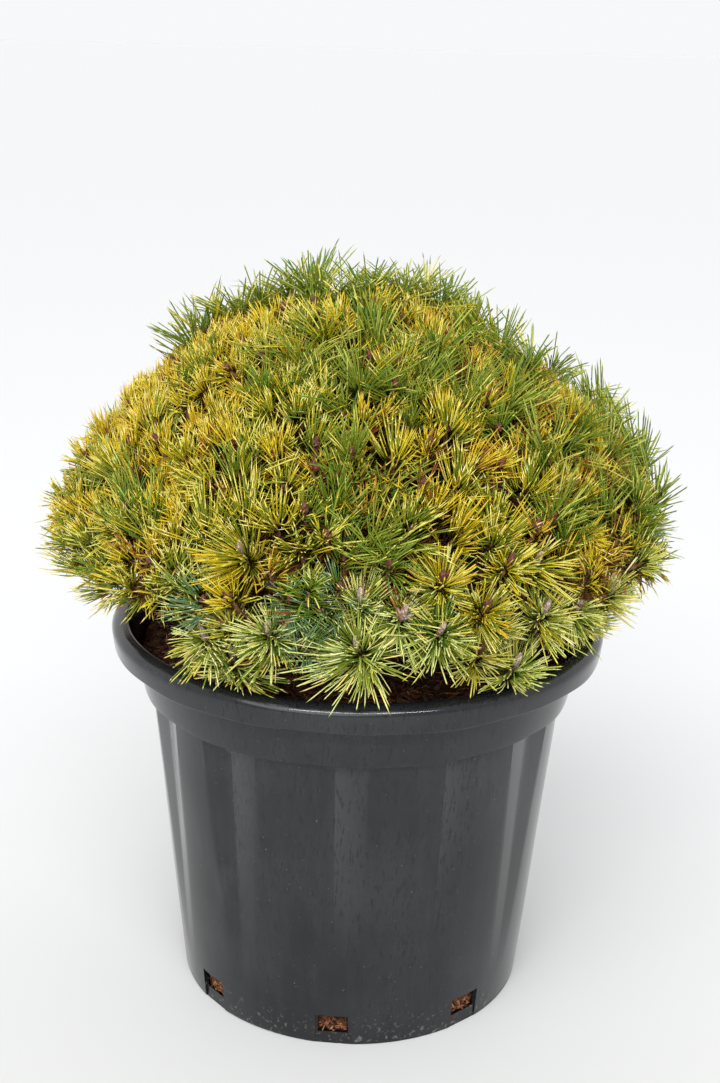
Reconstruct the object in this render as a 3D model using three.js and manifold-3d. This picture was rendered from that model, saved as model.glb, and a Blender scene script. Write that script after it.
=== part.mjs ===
// A dwarf mugo pine in its black plastic nursery pot, in millimetres, +Z up.
// The origin is the middle of the pot's flat underside. -Y is the front.
//
// The pot is a thin tapered shell with twelve shallow flutes and eight drain holes, filled with potting mix.
// A short stem stands on the mix and runs up as a leader. Boughs leave it for a lower and an upper ring of
// foliage masses, and the leader itself carries the mass on top.
// The crown is a low cushion. It is shared out by direction from its middle: every mass keeps to the cell of
// directions nearest its own axis. A mass is a faceted core with sprays standing out of it. Each spray is a
// slim shoot with a pointed bud and a whorl of needles that reach the crown's outline.

import * as THREE from 'three';
import { ConvexGeometry } from 'three/addons/geometries/ConvexGeometry.js';
import { mergeVertices } from 'three/addons/utils/BufferGeometryUtils.js';
import Module from 'manifold-3d';

const wasm = await Module();
wasm.setup();

const degree = Math.PI / 180;
const clearance = 0.4; // between solids that touch in the real plant

const pot = {
  height: 300,
  baseRadius: 137,
  bodyTopRadius: 160,
  shoulderHeight: 244, // where the plain band under the rim begins
  shoulderRadius: 166,
  shoulderTopRadius: 172,
  rimRadius: 190,
  rimBand: 20, // height of the rim's outer band
  rimRounding: 3,
  lipRadius: 177, // inner edge of the rim
  wall: 3,
  flutes: 12,
  fluteDepth: 5,
  fluteFoot: 30, // height at which the flutes have faded out
  fluteHalfAngle: 9 * degree, // at the top of a flute
  fluteFootShare: 0.5, // its width at the foot, as a share of that at the top
  turn: -95 * degree, // direction of the first flute and of the first drain hole
};

const drain = {
  count: 8,
  width: 23,
  low: 10,
  high: 23,
  length: 40, // of the cut through the wall
  pocketWidth: 26,
  pocketTop: 26,
  pocketDepth: 1.4,
};

const mix = {
  top: 276,
  collarDrop: 4, // how much lower it lies along the wall
  shoulderRise: [2, 6], // where it widens above the foot of the shoulder
  rings: [0.84, 0.55], // of lumps, as shares of the shoulder's radius
  levelRadius: 44,
  lump: 4,
  slack: 2,
  segments: 30,
};

const stem = {
  baseRadius: 15,
  tipRadius: 6,
  taperPower: 0.8, // under 1 it thins faster near the foot
  flare: 0.75, // extra width of the root flare, as a share of the stem's radius
  flareHeight: 0.07, // as a share of the stem's length
  fluting: 0.14, // how deep the flare is lobed
  lobes: 4,
  lean: 5,
  uprightShare: 0.2, // of its length, at each end
  sides: 10,
  steps: 9,
};

const bough = { tipRadius: 3.6, outward: 34, lastStretch: 30, sides: 6, steps: 6 };

const crown = {
  middle: new THREE.Vector3(-3, 0, 375),
  halfWidth: 241,
  rise: 195, // from the middle to the needle tips on top
  drop: 86, // from the middle to the lowest needle tips
  upperPower: 1.62, // 2 is an ellipse, and less is a flatter shoulder
  lowerPower: 2.6,
  lowest: -35 * degree, // of any spray, seen from the middle
  lobes: [[3, 0.014, 0.6], [5, 0.011, 2.1]], // how often round, how deep, and where the first one starts
  potClear: 3, // between needles and the rim
  mixClear: 9,
};

// Shares of the distance from the crown's middle to its outline.
const shares = {
  boughTip: 0.36,
  coreInside: 0.58,
  fork: 0.66,
  coreOutside: 0.79,
  seat: 0.83, // where a spray's needles grow from its shoot
  tip: [0.95, 1.03],
};

const rings = [
  { name: 'top', count: 1, elevation: 90, sprays: 12 },
  { name: 'upper', count: 6, elevation: 36, sprays: 8, root: 326, rootStep: 16, boughRadius: 5.6 },
  { name: 'lower', count: 9, elevation: -3, sprays: 8, root: 289, rootStep: 13, boughRadius: 6 },
];

const rootLevels = 3; // heights at which the boughs of a ring start, in turn
const ringTwist = 0.35; // of a mass's share of the turn, from one ring to the next
const unevenness = { azimuth: 0.3, elevation: 7 };
const seeds = { ring: 1009, nextRing: 77, mass: 5003, nextMass: 311 };

// A core fills its cell up to the margin. Its outside is lumpy, and its inside is narrower by the taper.
const core = {
  corners: 9,
  margin: 1.5,
  lumps: 0.035,
  halfWay: 0.55, // of the middle ring of corners, from the mass's axis to the cell's edge
  taper: 0.8,
  widest: 75 * degree,
  finest: 0.2 * degree, // step in which the cell's edge is found
};

const shoot = {
  radius: 3.8,
  bud: 15,
  neck: 9,
  sunk: 36,
  bend: 0.3, // of its root towards the mass's own stem
  upward: 0.5, // how much it leans from the outline's normal to the sky
  clear: 9,
  tries: 12,
};

// The needles of a spray open from its shoot by these angles in turn.
const needle = {
  count: 8,
  opening: [72 * degree, 40 * degree],
  height: 5.4, // of its root on the shoot
  shortest: 14,
  longest: 56,
  apart: 1.8,
  clear: 0.8, // from the cell's wall at its tip
  swing: 0.4, // of its own share of the turn
  places: [0.25, 0.4, 0.55, 0.7, 0.85, 1], // along it, at which it is kept clear
};

const finishes = {
  plastic: { color: 0x2c2d2f, roughness: 0.42, metalness: 0 },
  pottingMix: { color: 0x3a2417, roughness: 0.95, metalness: 0 },
  bark: { color: 0x5b4536, roughness: 0.9, metalness: 0 },
  needles: { color: 0x8a9a2c, roughness: 0.55, metalness: 0 },
};

const { lerp, clamp } = THREE.MathUtils;
const up = new THREE.Vector3(0, 0, 1);
const sideways = new THREE.Vector3(0.3, 1, 0.1).normalize(); // along no mass or shoot

// Random numbers from 0 to 1, the same on every run.
function seeded(seed) {
  let state = seed;
  return () => {
    state = (state * 16807) % 2147483647;
    return state / 2147483647;
  };
}

function direction(azimuth, elevation) {
  const level = Math.cos(elevation);
  return new THREE.Vector3(Math.cos(azimuth) * level, Math.sin(azimuth) * level, Math.sin(elevation));
}

// An axis tilted to one side by an angle.
function tilted(axis, side, angle) {
  return axis.clone().multiplyScalar(Math.cos(angle)).addScaledVector(side, Math.sin(angle));
}

function toSolid(geometry) {
  const bare = geometry.clone();
  bare.deleteAttribute('normal');
  bare.deleteAttribute('uv');
  const merged = mergeVertices(bare, 1e-4);
  return new wasm.Manifold(new wasm.Mesh({
    numProp: 3,
    vertProperties: merged.attributes.position.array,
    triVerts: new Uint32Array(merged.index.array),
  }));
}

function toGeometry(solid) {
  const mesh = solid.getMesh();
  const geometry = new THREE.BufferGeometry();
  geometry.setAttribute('position', new THREE.BufferAttribute(mesh.vertProperties, 3));
  geometry.setIndex(new THREE.BufferAttribute(mesh.triVerts, 1));
  geometry.computeVertexNormals();
  return geometry;
}

function movePoints(geometry, move) {
  const position = geometry.attributes.position;
  const point = new THREE.Vector3();
  for (let i = 0; i < position.count; i++) {
    move(point.fromBufferAttribute(position, i));
    position.setXYZ(i, point.x, point.y, point.z);
  }
  return geometry;
}

// A round limb: a cylinder bent so that its axis follows the curve, with its own radius all along.
function limb(curve, sides, steps, radiusAt) {
  const frames = curve.computeFrenetFrames(steps);
  return movePoints(new THREE.CylinderGeometry(1, 1, 1, sides, steps), (point) => {
    const along = point.y + 0.5;
    const step = Math.round(along * steps);
    const angle = Math.atan2(point.z, point.x);
    const radius = Math.hypot(point.x, point.z) * radiusAt(along, angle);
    curve.getPointAt(along, point)
      .addScaledVector(frames.normals[step], -radius * Math.cos(angle))
      .addScaledVector(frames.binormals[step], radius * Math.sin(angle));
  });
}

// A straight rod of one radius from one point to another.
function rod(from, to, radius, sides) {
  const along = to.clone().sub(from);
  const length = along.length();
  const turn = new THREE.Quaternion().setFromUnitVectors(new THREE.Vector3(0, 1, 0), along.normalize());
  return new THREE.CylinderGeometry(radius, radius, length, sides, 1)
    .translate(0, length / 2, 0)
    .applyQuaternion(turn)
    .translate(from.x, from.y, from.z);
}

// Pot. Each flute has five columns of points: four across its hollow and one on the land beside it.

const columnsPerFlute = 5;

function fluteColumn(column, height) {
  const rise = clamp((height - pot.fluteFoot) / (pot.shoulderHeight - pot.fluteFoot), 0, 1);
  const halfAngle = pot.fluteHalfAngle * lerp(pot.fluteFootShare, 1, rise);
  const pitch = 2 * Math.PI / pot.flutes;
  const middle = pot.turn + Math.floor(column / columnsPerFlute) * pitch;
  const within = column % columnsPerFlute;
  if (within === columnsPerFlute - 1) return { angle: middle + pitch / 2, depth: 0 };
  const across = lerp(-1, 1, within / (columnsPerFlute - 2)); // over the hollow
  const hollow = height > pot.shoulderHeight ? 0 : pot.fluteDepth * rise;
  return { angle: middle + across * halfAngle, depth: hollow * (1 - across * across) };
}

function bodyRadius(height) {
  return lerp(pot.baseRadius, pot.bodyTopRadius, height / pot.shoulderHeight);
}

function makePot() {
  const rimFoot = pot.height - pot.rimBand;
  const outline = [
    [0, 0],
    [pot.baseRadius, 0],
    [bodyRadius(pot.fluteFoot), pot.fluteFoot],
    [pot.bodyTopRadius, pot.shoulderHeight],
    [pot.shoulderRadius, pot.shoulderHeight + 1],
    [pot.shoulderTopRadius, rimFoot],
    [pot.rimRadius, rimFoot],
    [pot.rimRadius, pot.height - pot.rimRounding],
    [pot.rimRadius - pot.rimRounding, pot.height],
    [pot.lipRadius, pot.height],
    [pot.shoulderTopRadius - pot.wall, rimFoot],
    [pot.shoulderRadius - pot.wall, pot.shoulderHeight + 1],
    [pot.bodyTopRadius - pot.wall, pot.shoulderHeight],
    [bodyRadius(pot.fluteFoot) - pot.wall, pot.fluteFoot],
    [pot.baseRadius - pot.wall, pot.wall],
    [0, pot.wall],
  ].map(([radius, height]) => new THREE.Vector2(radius, height));
  const columns = pot.flutes * columnsPerFlute;
  const shell = movePoints(new THREE.LatheGeometry(outline, columns), (point) => {
    const turned = Math.atan2(point.x, point.z) / (2 * Math.PI);
    const column = Math.round((turned + 1) * columns) % columns;
    const { angle, depth } = fluteColumn(column, point.y);
    const radius = Math.max(Math.hypot(point.x, point.z) - depth, 0);
    point.set(radius * Math.cos(angle), radius * Math.sin(angle), point.y);
  });
  let solid = toSolid(shell);
  for (let k = 0; k < drain.count; k++) {
    const angle = pot.turn + k * 2 * Math.PI / drain.count;
    const hole = new THREE.BoxGeometry(drain.length, drain.width, drain.high - drain.low)
      .translate(pot.baseRadius, 0, (drain.low + drain.high) / 2)
      .rotateZ(angle);
    const pocket = new THREE.BoxGeometry(drain.length, drain.pocketWidth, 2 * drain.pocketTop)
      .translate(pot.baseRadius - drain.pocketDepth + drain.length / 2, 0, 0)
      .rotateZ(angle);
    solid = solid.subtract(toSolid(hole)).subtract(toSolid(pocket));
  }
  return toGeometry(solid);
}

// The mix fills the pot inside its flutes, and is lumpy on top except where the stem stands.
function makeMix() {
  const inner = (radius) => radius - pot.wall - mix.slack;
  const outline = [
    [0, pot.wall + clearance],
    [inner(pot.baseRadius), pot.wall + clearance],
    [inner(pot.bodyTopRadius - pot.fluteDepth), pot.shoulderHeight + mix.shoulderRise[0]],
    [inner(pot.shoulderRadius), pot.shoulderHeight + mix.shoulderRise[1]],
    [inner(pot.shoulderTopRadius), mix.top - mix.collarDrop],
    ...mix.rings.map((share) => [share * pot.shoulderRadius, mix.top]),
    [mix.levelRadius, mix.top],
    [0, mix.top],
  ].map(([radius, height]) => new THREE.Vector2(radius, height));
  return movePoints(new THREE.LatheGeometry(outline, mix.segments), (point) => {
    const radius = Math.hypot(point.x, point.z);
    const angle = Math.atan2(point.x, point.z);
    const lumpy = point.y > mix.top - 1 && radius > mix.levelRadius + 1;
    const lump = lumpy ? 0.5 * (Math.sin(3 * angle + radius) + Math.sin(7 * angle - radius / 9)) : 0;
    point.set(radius * Math.cos(angle), radius * Math.sin(angle), point.y + mix.lump * lump);
  });
}

// Crown. Distance from its middle to its outline in a direction.
function outlineReach(towards) {
  const above = towards.z > 0;
  const level = Math.hypot(towards.x, towards.y) / crown.halfWidth;
  const steep = Math.abs(towards.z) / (above ? crown.rise : crown.drop);
  const power = above ? crown.upperPower : crown.lowerPower;
  const azimuth = Math.atan2(towards.y, towards.x);
  const swell = crown.lobes.map(([times, depth, first]) => depth * Math.cos(times * (azimuth - first)));
  const even = (level ** power + steep ** power) ** (-1 / power);
  return even * (1 + level * even * swell.reduce((sum, part) => sum + part));
}

function crownPoint(towards, share) {
  return crown.middle.clone().addScaledVector(towards, outlineReach(towards) * share);
}

// Direction square to the outline, from its slope on both sides of a point.
function outlineNormal(towards) {
  const step = 0.02;
  const level = new THREE.Vector3().crossVectors(up, towards);
  const side = level.length() > step ? level.normalize() : new THREE.Vector3(1, 0, 0);
  const rise = new THREE.Vector3().crossVectors(towards, side);
  const beside = (axis, amount) => crownPoint(towards.clone().addScaledVector(axis, amount).normalize(), 1);
  const alongSide = beside(side, step).sub(beside(side, -step));
  const alongRise = beside(rise, step).sub(beside(rise, -step));
  return alongSide.cross(alongRise).normalize();
}

function layOutMasses() {
  const masses = [];
  rings.forEach((ring, level) => {
    const random = seeded(seeds.ring + seeds.nextRing * level);
    for (let n = 1; n <= ring.count; n++) {
      const alone = ring.count === 1;
      const swing = unevenness.azimuth * (random() - 0.5);
      const tilt = unevenness.elevation * (random() - 0.5);
      const azimuth = 2 * Math.PI * (n + ringTwist * level + swing) / ring.count;
      masses.push({
        ring,
        number: n,
        name: alone ? ring.name : `${ring.name}_${n}`,
        seed: seeds.mass + seeds.nextMass * masses.length,
        axis: direction(azimuth, (alone ? ring.elevation : ring.elevation + tilt) * degree),
      });
    }
  });
  return masses;
}

const masses = layOutMasses();

// How far inside its mass's cell a point lies: its distance from the nearest wall of the cell.
function insideCell(mass, point) {
  const fromMiddle = point.clone().sub(crown.middle);
  const distances = masses.filter((other) => other !== mass).map((other) => {
    const wall = mass.axis.clone().sub(other.axis).normalize();
    return fromMiddle.dot(wall);
  });
  return Math.min(...distances);
}

function randomDirection(mass, random, share, margin) {
  for (;;) {
    const height = lerp(Math.sin(crown.lowest), 1, random());
    const towards = direction(2 * Math.PI * random(), Math.asin(height));
    if (insideCell(mass, crownPoint(towards, share)) > margin) return towards;
  }
}

// Directions of a mass's sprays, each the best of several tries at lying far from those before it.
function sprayDirections(mass, random) {
  const chosen = [];
  while (chosen.length < mass.ring.sprays) {
    let best = { apart: -1 };
    for (let tries = 0; tries < shoot.tries; tries++) {
      const towards = randomDirection(mass, random, shares.seat, shoot.clear);
      const seat = crownPoint(towards, shares.seat);
      const apart = Math.min(crown.halfWidth, ...chosen.map((other) => other.seat.distanceTo(seat)));
      if (apart > best.apart) best = { towards, seat, apart };
    }
    chosen.push(best);
  }
  return chosen;
}

// Whether a place is over the rim, or inside it and over the mix.
function clearOfPot(place) {
  const insideRim = Math.hypot(place.x, place.y) < pot.lipRadius - crown.potClear;
  return place.z > (insideRim ? mix.top + crown.mixClear : pot.height + crown.potClear);
}

// The shoots of a mass. Each leaves the core at its neck, and leans from the outline's normal to the sky.
function placeShoots(mass, fork, random) {
  const shoots = sprayDirections(mass, random).map(({ towards, seat }) => {
    const axis = outlineNormal(towards).addScaledVector(up, shoot.upward).normalize();
    const along = (length) => seat.clone().addScaledVector(axis, length);
    const root = along(-shoot.sunk).lerp(fork, shoot.bend);
    return { seat, axis, bud: along(shoot.bud), neck: along(-shoot.neck), root };
  });
  return shoots.filter(({ seat, bud, neck }) => {
    const inside = Math.min(insideCell(mass, bud), insideCell(mass, neck));
    return inside > core.margin && clearOfPot(seat) && clearOfPot(neck);
  });
}

// The direction in which a cell ends, going out from the mass's axis at an angle round it.
function cellEdge(mass, around, share) {
  const { axis } = mass;
  const side = new THREE.Vector3().crossVectors(axis, sideways).normalize().applyAxisAngle(axis, around);
  let angle = 0;
  for (let step = core.widest / 2; step > core.finest; step /= 2) {
    const towards = tilted(axis, side, angle + step);
    const stays = insideCell(mass, crownPoint(towards, share)) > core.margin;
    if (stays && towards.z > Math.sin(crown.lowest)) angle += step;
  }
  return tilted(axis, side, angle);
}

function makeCore(mass, shoots, random) {
  const lumpy = () => shares.coreOutside * (1 - core.lumps * random());
  const points = [crownPoint(mass.axis, shares.coreOutside), ...shoots.map(({ neck }) => neck)];
  for (let k = 0; k < core.corners; k++) {
    const around = 2 * Math.PI * k / core.corners;
    const outer = cellEdge(mass, around, shares.coreOutside);
    const halfWay = mass.axis.clone().lerp(outer, core.halfWay).normalize();
    const inner = mass.axis.clone().lerp(cellEdge(mass, around, shares.coreInside), core.taper).normalize();
    points.push(crownPoint(outer, lumpy()), crownPoint(halfWay, lumpy()));
    points.push(crownPoint(inner, shares.coreInside));
  }
  return toSolid(new ConvexGeometry(points));
}

// How long a needle grows before its tip meets its share of the outline.
function needleLength(root, towards, share) {
  let length = needle.shortest;
  while (length < needle.longest) {
    const tip = root.clone().addScaledVector(towards, length + 1).sub(crown.middle);
    if (tip.length() > share * outlineReach(tip.clone().normalize())) break;
    length += 1;
  }
  return length;
}

function placesAlong({ root, tip }) {
  return needle.places.map((share) => root.clone().lerp(tip, share));
}

// Least distance between two needles past their roots.
function needlesApart(one, other) {
  const others = placesAlong(other);
  return Math.min(...placesAlong(one).map((a) => Math.min(...others.map((b) => a.distanceTo(b)))));
}

// The tips of the needles round one shoot. One that would leave its cell, touch the pot or cross another
// has no tip.
function growNeedles(mass, { seat, axis, square, turned }, grown, random) {
  const tips = [];
  for (let k = 0; k < needle.count; k++) {
    const opening = needle.opening[k % needle.opening.length];
    const around = turned + 2 * Math.PI * (k + needle.swing * (random() - 0.5)) / needle.count;
    const outward = square.clone().applyAxisAngle(axis, around);
    const towards = tilted(axis, outward, opening);
    const length = needleLength(seat, towards, lerp(...shares.tip, random()));
    const grows = { root: seat, tip: seat.clone().addScaledVector(towards, length) };
    const leaves = insideCell(mass, grows.tip) < needle.clear || !placesAlong(grows).every(clearOfPot);
    const crosses = grown.some((other) => needlesApart(grows, other) < needle.apart);
    tips.push(leaves || crosses ? null : grows.tip);
    if (tips[k]) grown.push(grows);
  }
  return tips;
}

// A spray is one closed body: a shoot pointed at its root and at its bud, with a ring of four-sided needles.
// The ring's corners stand between the needles, and a needle that isn't there leaves a flat face.
function makeSpray({ root, seat, bud, axis, square, turned }, tips) {
  const corner = (k, height) => {
    const around = turned + 2 * Math.PI * (k - 0.5) / needle.count;
    return square.clone().applyAxisAngle(axis, around).multiplyScalar(shoot.radius)
      .add(seat).addScaledVector(axis, height);
  };
  const points = [];
  tips.forEach((tip, k) => {
    const low = corner(k, -needle.height / 2);
    const nextLow = corner(k + 1, -needle.height / 2);
    const high = corner(k, needle.height / 2);
    const nextHigh = corner(k + 1, needle.height / 2);
    points.push(high, nextHigh, bud);
    points.push(nextLow, low, root);
    if (tip) {
      points.push(low, nextLow, tip);
      points.push(nextLow, nextHigh, tip);
      points.push(nextHigh, high, tip);
      points.push(high, low, tip);
    } else {
      points.push(low, nextLow, nextHigh);
      points.push(low, nextHigh, high);
    }
  });
  return toSolid(new THREE.BufferGeometry().setFromPoints(points));
}

function makeMass(mass) {
  const random = seeded(mass.seed);
  const foot = crownPoint(mass.axis, shares.boughTip).addScaledVector(mass.axis, clearance);
  const fork = crownPoint(mass.axis, shares.fork);
  const shoots = placeShoots(mass, fork, random);
  const ownStem = toSolid(rod(foot, fork, bough.tipRadius, bough.sides));
  const parts = [makeCore(mass, shoots, random), ownStem];
  const grown = [];
  for (const { seat, axis, ...ends } of shoots) {
    const square = new THREE.Vector3().crossVectors(axis, sideways).normalize();
    const spray = { seat, axis, ...ends, square, turned: 2 * Math.PI * random() };
    parts.push(makeSpray(spray, growNeedles(mass, spray, grown, random)));
  }
  return toGeometry(wasm.Manifold.union(parts));
}

// Stem and boughs. The stem is upright at its foot and at its tip, and leans in between.

function layOutStem() {
  const foot = new THREE.Vector3(0, 0, mix.top + clearance);
  const tip = crownPoint(up, shares.boughTip);
  const stretch = up.clone().multiplyScalar(stem.uprightShare * (tip.z - foot.z));
  const middle = foot.clone().lerp(tip, 0.5).add(new THREE.Vector3(stem.lean, stem.lean, 0));
  const points = [foot, foot.clone().add(stretch), middle, tip.clone().sub(stretch), tip];
  return new THREE.CatmullRomCurve3(points, false, 'centripetal');
}

const stemPath = layOutStem();

function makeStem(thicker = 0) {
  return limb(stemPath, stem.sides, stem.steps, (along, angle) => {
    const flare = Math.exp(-along / stem.flareHeight);
    const taper = lerp(stem.baseRadius, stem.tipRadius, along ** stem.taperPower);
    const lobed = 1 + stem.fluting * flare * Math.sin(stem.lobes * angle);
    return taper * (1 + stem.flare * flare) * lobed + thicker;
  });
}

// A bough grows out of the stem and is cut clear of it. Boughs side by side start at different heights.
function makeBough(mass) {
  const { root, rootStep, boughRadius } = mass.ring;
  const height = root + (mass.number % rootLevels) * rootStep - mix.top;
  const start = stemPath.getPointAt(height / stemPath.getLength());
  const tip = crownPoint(mass.axis, shares.boughTip);
  const outward = tip.clone().sub(start).setZ(0).normalize();
  const leaving = start.clone().addScaledVector(outward, bough.outward);
  const arriving = tip.clone().addScaledVector(mass.axis, -bough.lastStretch);
  const path = new THREE.CubicBezierCurve3(start, leaving, arriving, tip);
  const shape = limb(path, bough.sides, bough.steps, (along) => lerp(boughRadius, bough.tipRadius, along));
  return toGeometry(toSolid(shape).subtract(toSolid(makeStem(clearance))));
}

// The whole plant.

const plant = new THREE.Group();

function add(name, geometry, finish) {
  const mesh = new THREE.Mesh(geometry, new THREE.MeshStandardMaterial(finish));
  mesh.name = name;
  plant.add(mesh);
}

add('pot', makePot(), finishes.plastic);
add('potting_mix', makeMix(), finishes.pottingMix);
add('stem', makeStem(), finishes.bark);
for (const mass of masses) {
  if (mass.ring.boughRadius) add(`bough_${mass.name}`, makeBough(mass), finishes.bark);
  add(`foliage_${mass.name}`, makeMass(mass), finishes.needles);
}

export default plant;
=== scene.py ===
# Dwarf mugo pine in a black nursery pot. Metres, +Z up, the pot stands at the origin and -Y is the front.

import math

import bpy
import numpy as np
from mathutils import Matrix, Vector, noise


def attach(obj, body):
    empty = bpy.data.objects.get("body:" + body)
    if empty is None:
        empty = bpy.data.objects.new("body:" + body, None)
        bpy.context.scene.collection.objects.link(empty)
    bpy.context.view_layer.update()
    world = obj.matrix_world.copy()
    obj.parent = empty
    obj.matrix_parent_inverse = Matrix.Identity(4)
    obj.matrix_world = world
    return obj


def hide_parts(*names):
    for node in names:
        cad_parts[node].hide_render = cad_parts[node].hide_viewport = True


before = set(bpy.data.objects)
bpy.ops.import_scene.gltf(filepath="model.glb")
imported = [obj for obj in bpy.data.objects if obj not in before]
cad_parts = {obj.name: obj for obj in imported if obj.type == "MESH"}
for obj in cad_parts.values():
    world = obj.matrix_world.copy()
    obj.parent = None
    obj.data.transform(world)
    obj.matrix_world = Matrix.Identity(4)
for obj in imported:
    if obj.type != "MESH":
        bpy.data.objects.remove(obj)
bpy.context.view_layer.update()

mm = 0.001
up = np.array((0.0, 0.0, 1.0))
sideways = np.array((0.3, 1.0, 0.1)) / np.linalg.norm((0.3, 1.0, 0.1))  # along no mass or shoot


# camera and light

cameraSetup = {
    "place": (0.0, -1.142, 0.726),
    "pitch": math.radians(17.96),  # below the horizon
    "roll": math.radians(1.37),
    "lens": 51.86,
    "film": 36,
    "picture": (720, 1083),
}

studio = {
    "floorSize": 200.0,
    # the floor's colour is painted darker towards the front, as painted shade, and paler far off
    "floorNear": (0.61, 0.605, 0.585),
    "floorFar": (0.75, 0.75, 0.75),
    "skyFront": 0.5,  # behind the camera
    "skyBack": 0.945,
    "sunPower": 2.2,
    "sunSpread": math.radians(62),
    "sunPlace": (-0.32, -0.93, 0.82),
    "stripPower": 35,
    "stripColour": (0.9, 0.95, 1.0),
    "stripSize": (2.6, 0.07),
    "stripPlace": (0.1, -2.0, 1.85),
    "stripAim": (0, -0.15, 0.3),
    "floorFade": (-0.5, 0.6),  # from near to far along Y
    "skyFade": (-0.9, 0.3),
    "skyColour": (0.99, 0.995, 1.01),
}


def cameraAxes():
    pitch, roll = cameraSetup["pitch"], cameraSetup["roll"]
    ahead = Vector((0, math.cos(pitch), -math.sin(pitch)))
    right = Vector((1, 0, 0))
    above = right.cross(ahead)
    across = right * math.cos(roll) + above * math.sin(roll)
    upright = above * math.cos(roll) - right * math.sin(roll)
    return across, upright, ahead


def pictureRay(x, y):
    # direction from the camera through a place in its picture
    width, height = cameraSetup["picture"]
    across, upright, ahead = cameraAxes()
    distance = cameraSetup["lens"] / cameraSetup["film"] * height
    return np.array((ahead * distance + across * (x - width / 2) + upright * (height / 2 - y)).normalized())


def makeCamera():
    across, upright, ahead = cameraAxes()
    camera = bpy.data.objects.new("camera", bpy.data.cameras.new("camera"))
    camera.data.lens = cameraSetup["lens"]
    camera.data.sensor_width = cameraSetup["film"]
    axes = Matrix((across, upright, -ahead)).transposed()
    camera.matrix_world = Matrix.Translation(cameraSetup["place"]) @ axes.to_4x4()
    bpy.context.scene.collection.objects.link(camera)
    bpy.context.scene.camera = camera


makeCamera()
print("camera ready")


# helpers for meshes

def unit(vectors):
    return vectors / np.maximum(np.linalg.norm(vectors, axis=-1, keepdims=True), 1e-12)


def lerp(a, b, share):
    return a + (b - a) * share


def addMesh(name, points, faces, materials, slots=None, smooth=True):
    # faces is one array of triangles or of quads
    faces = np.asarray(faces, np.int32)
    count, corners = faces.shape
    mesh = bpy.data.meshes.new(name)
    mesh.vertices.add(len(points))
    mesh.vertices.foreach_set("co", np.asarray(points, np.float32).ravel())
    mesh.loops.add(count * corners)
    mesh.loops.foreach_set("vertex_index", faces.ravel())
    mesh.polygons.add(count)
    mesh.polygons.foreach_set("loop_start", np.arange(count, dtype=np.int32) * corners)
    for material in materials:
        mesh.materials.append(material)
    if slots is not None:
        mesh.polygons.foreach_set("material_index", np.asarray(slots, np.int32))
    mesh.polygons.foreach_set("use_smooth", np.full(count, smooth))
    mesh.update(calc_edges=True)
    piece = bpy.data.objects.new(name, mesh)
    bpy.context.scene.collection.objects.link(piece)
    return piece


def finishPiece(piece, slot, *nodes):
    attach(piece, "root")
    if nodes:
        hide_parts(*nodes)
    return piece


def joinParts(parts):
    # parts is a list of (points, faces), joined into one pair of arrays
    starts = np.cumsum([0] + [len(points) for points, _ in parts[:-1]])
    points = np.concatenate([points for points, _ in parts])
    faces = np.concatenate([np.asarray(faces) + start for (_, faces), start in zip(parts, starts)])
    return points, faces


def closedRings(rows, columns, outward=True):
    # triangles over rows of points, each row a ring, closed by the two points that come after them all
    around = np.arange(columns)
    after = (around + 1) % columns
    starts = np.arange(rows - 1)[:, None] * columns
    low, beside = (starts + around).ravel(), (starts + after).ravel()
    last, extra = (rows - 1) * columns, rows * columns
    corners = (
        (low, beside, beside + columns),
        (low, beside + columns, low + columns),
        (after, around, extra),
        (last + around, last + after, extra + 1),
    )
    triangles = np.concatenate([np.stack(np.broadcast_arrays(*three), axis=1) for three in corners])
    return triangles if outward else triangles[:, ::-1]


def tube(path, radii, sides, relief=None):
    # closed round body along a path; relief gives a factor for the radius
    path = np.asarray(path, float)
    tangents = unit(np.gradient(path, axis=0))
    side = unit(np.cross(tangents[0], sideways))
    angles = 2 * math.pi * np.arange(sides) / sides
    rings = []
    for step, (centre, tangent) in enumerate(zip(path, tangents)):
        side = unit(side - tangent * np.dot(side, tangent))
        other = np.cross(tangent, side)
        factor = 1 if relief is None else relief(step, angles)[:, None]
        spokes = np.cos(angles)[:, None] * side + np.sin(angles)[:, None] * other
        rings.append(centre + radii[step] * factor * spokes)
    return np.concatenate(rings + [path[:1], path[-1:]]), closedRings(len(path), sides)


def bezier(start, leaving, arriving, end, steps):
    t = np.linspace(0, 1, steps)[:, None]
    return (
        start * (1 - t) ** 3
        + leaving * 3 * t * (1 - t) ** 2
        + arriving * 3 * t**2 * (1 - t)
        + end * t**3
    )


# helpers for materials

def tone(red, green, blue):
    # screen colour from 0 to 255 as a linear one
    return tuple(lerp(c / 255 / 12.92, ((c / 255 + 0.055) / 1.055) ** 2.4, c > 10) for c in (red, green, blue))


def darker(colour, share):
    return tuple(share * c for c in colour)


def newFinish(name, colour, roughness, specular=0.5):
    material = bpy.data.materials.new(name)
    material.use_nodes = True
    shader = material.node_tree.nodes["Principled BSDF"]
    shader.inputs["Base Color"].default_value = (*colour, 1)
    shader.inputs["Roughness"].default_value = roughness
    shader.inputs["Specular IOR Level"].default_value = specular
    return material, shader


def addNode(material, kind, inputs=(), **settings):
    node = material.node_tree.nodes.new(kind)
    for name, value in settings.items():
        setattr(node, name, value)
    for name, value in dict(inputs).items():
        if isinstance(value, bpy.types.NodeSocket):
            material.node_tree.links.new(value, node.inputs[name])
        else:
            node.inputs[name].default_value = value
    return node


def placed(material, scale):
    # the object's own coordinates, stretched by three scales
    where = addNode(material, "ShaderNodeTexCoord").outputs["Object"]
    return addNode(material, "ShaderNodeMapping", {"Vector": where, "Scale": scale}).outputs["Vector"]


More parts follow.
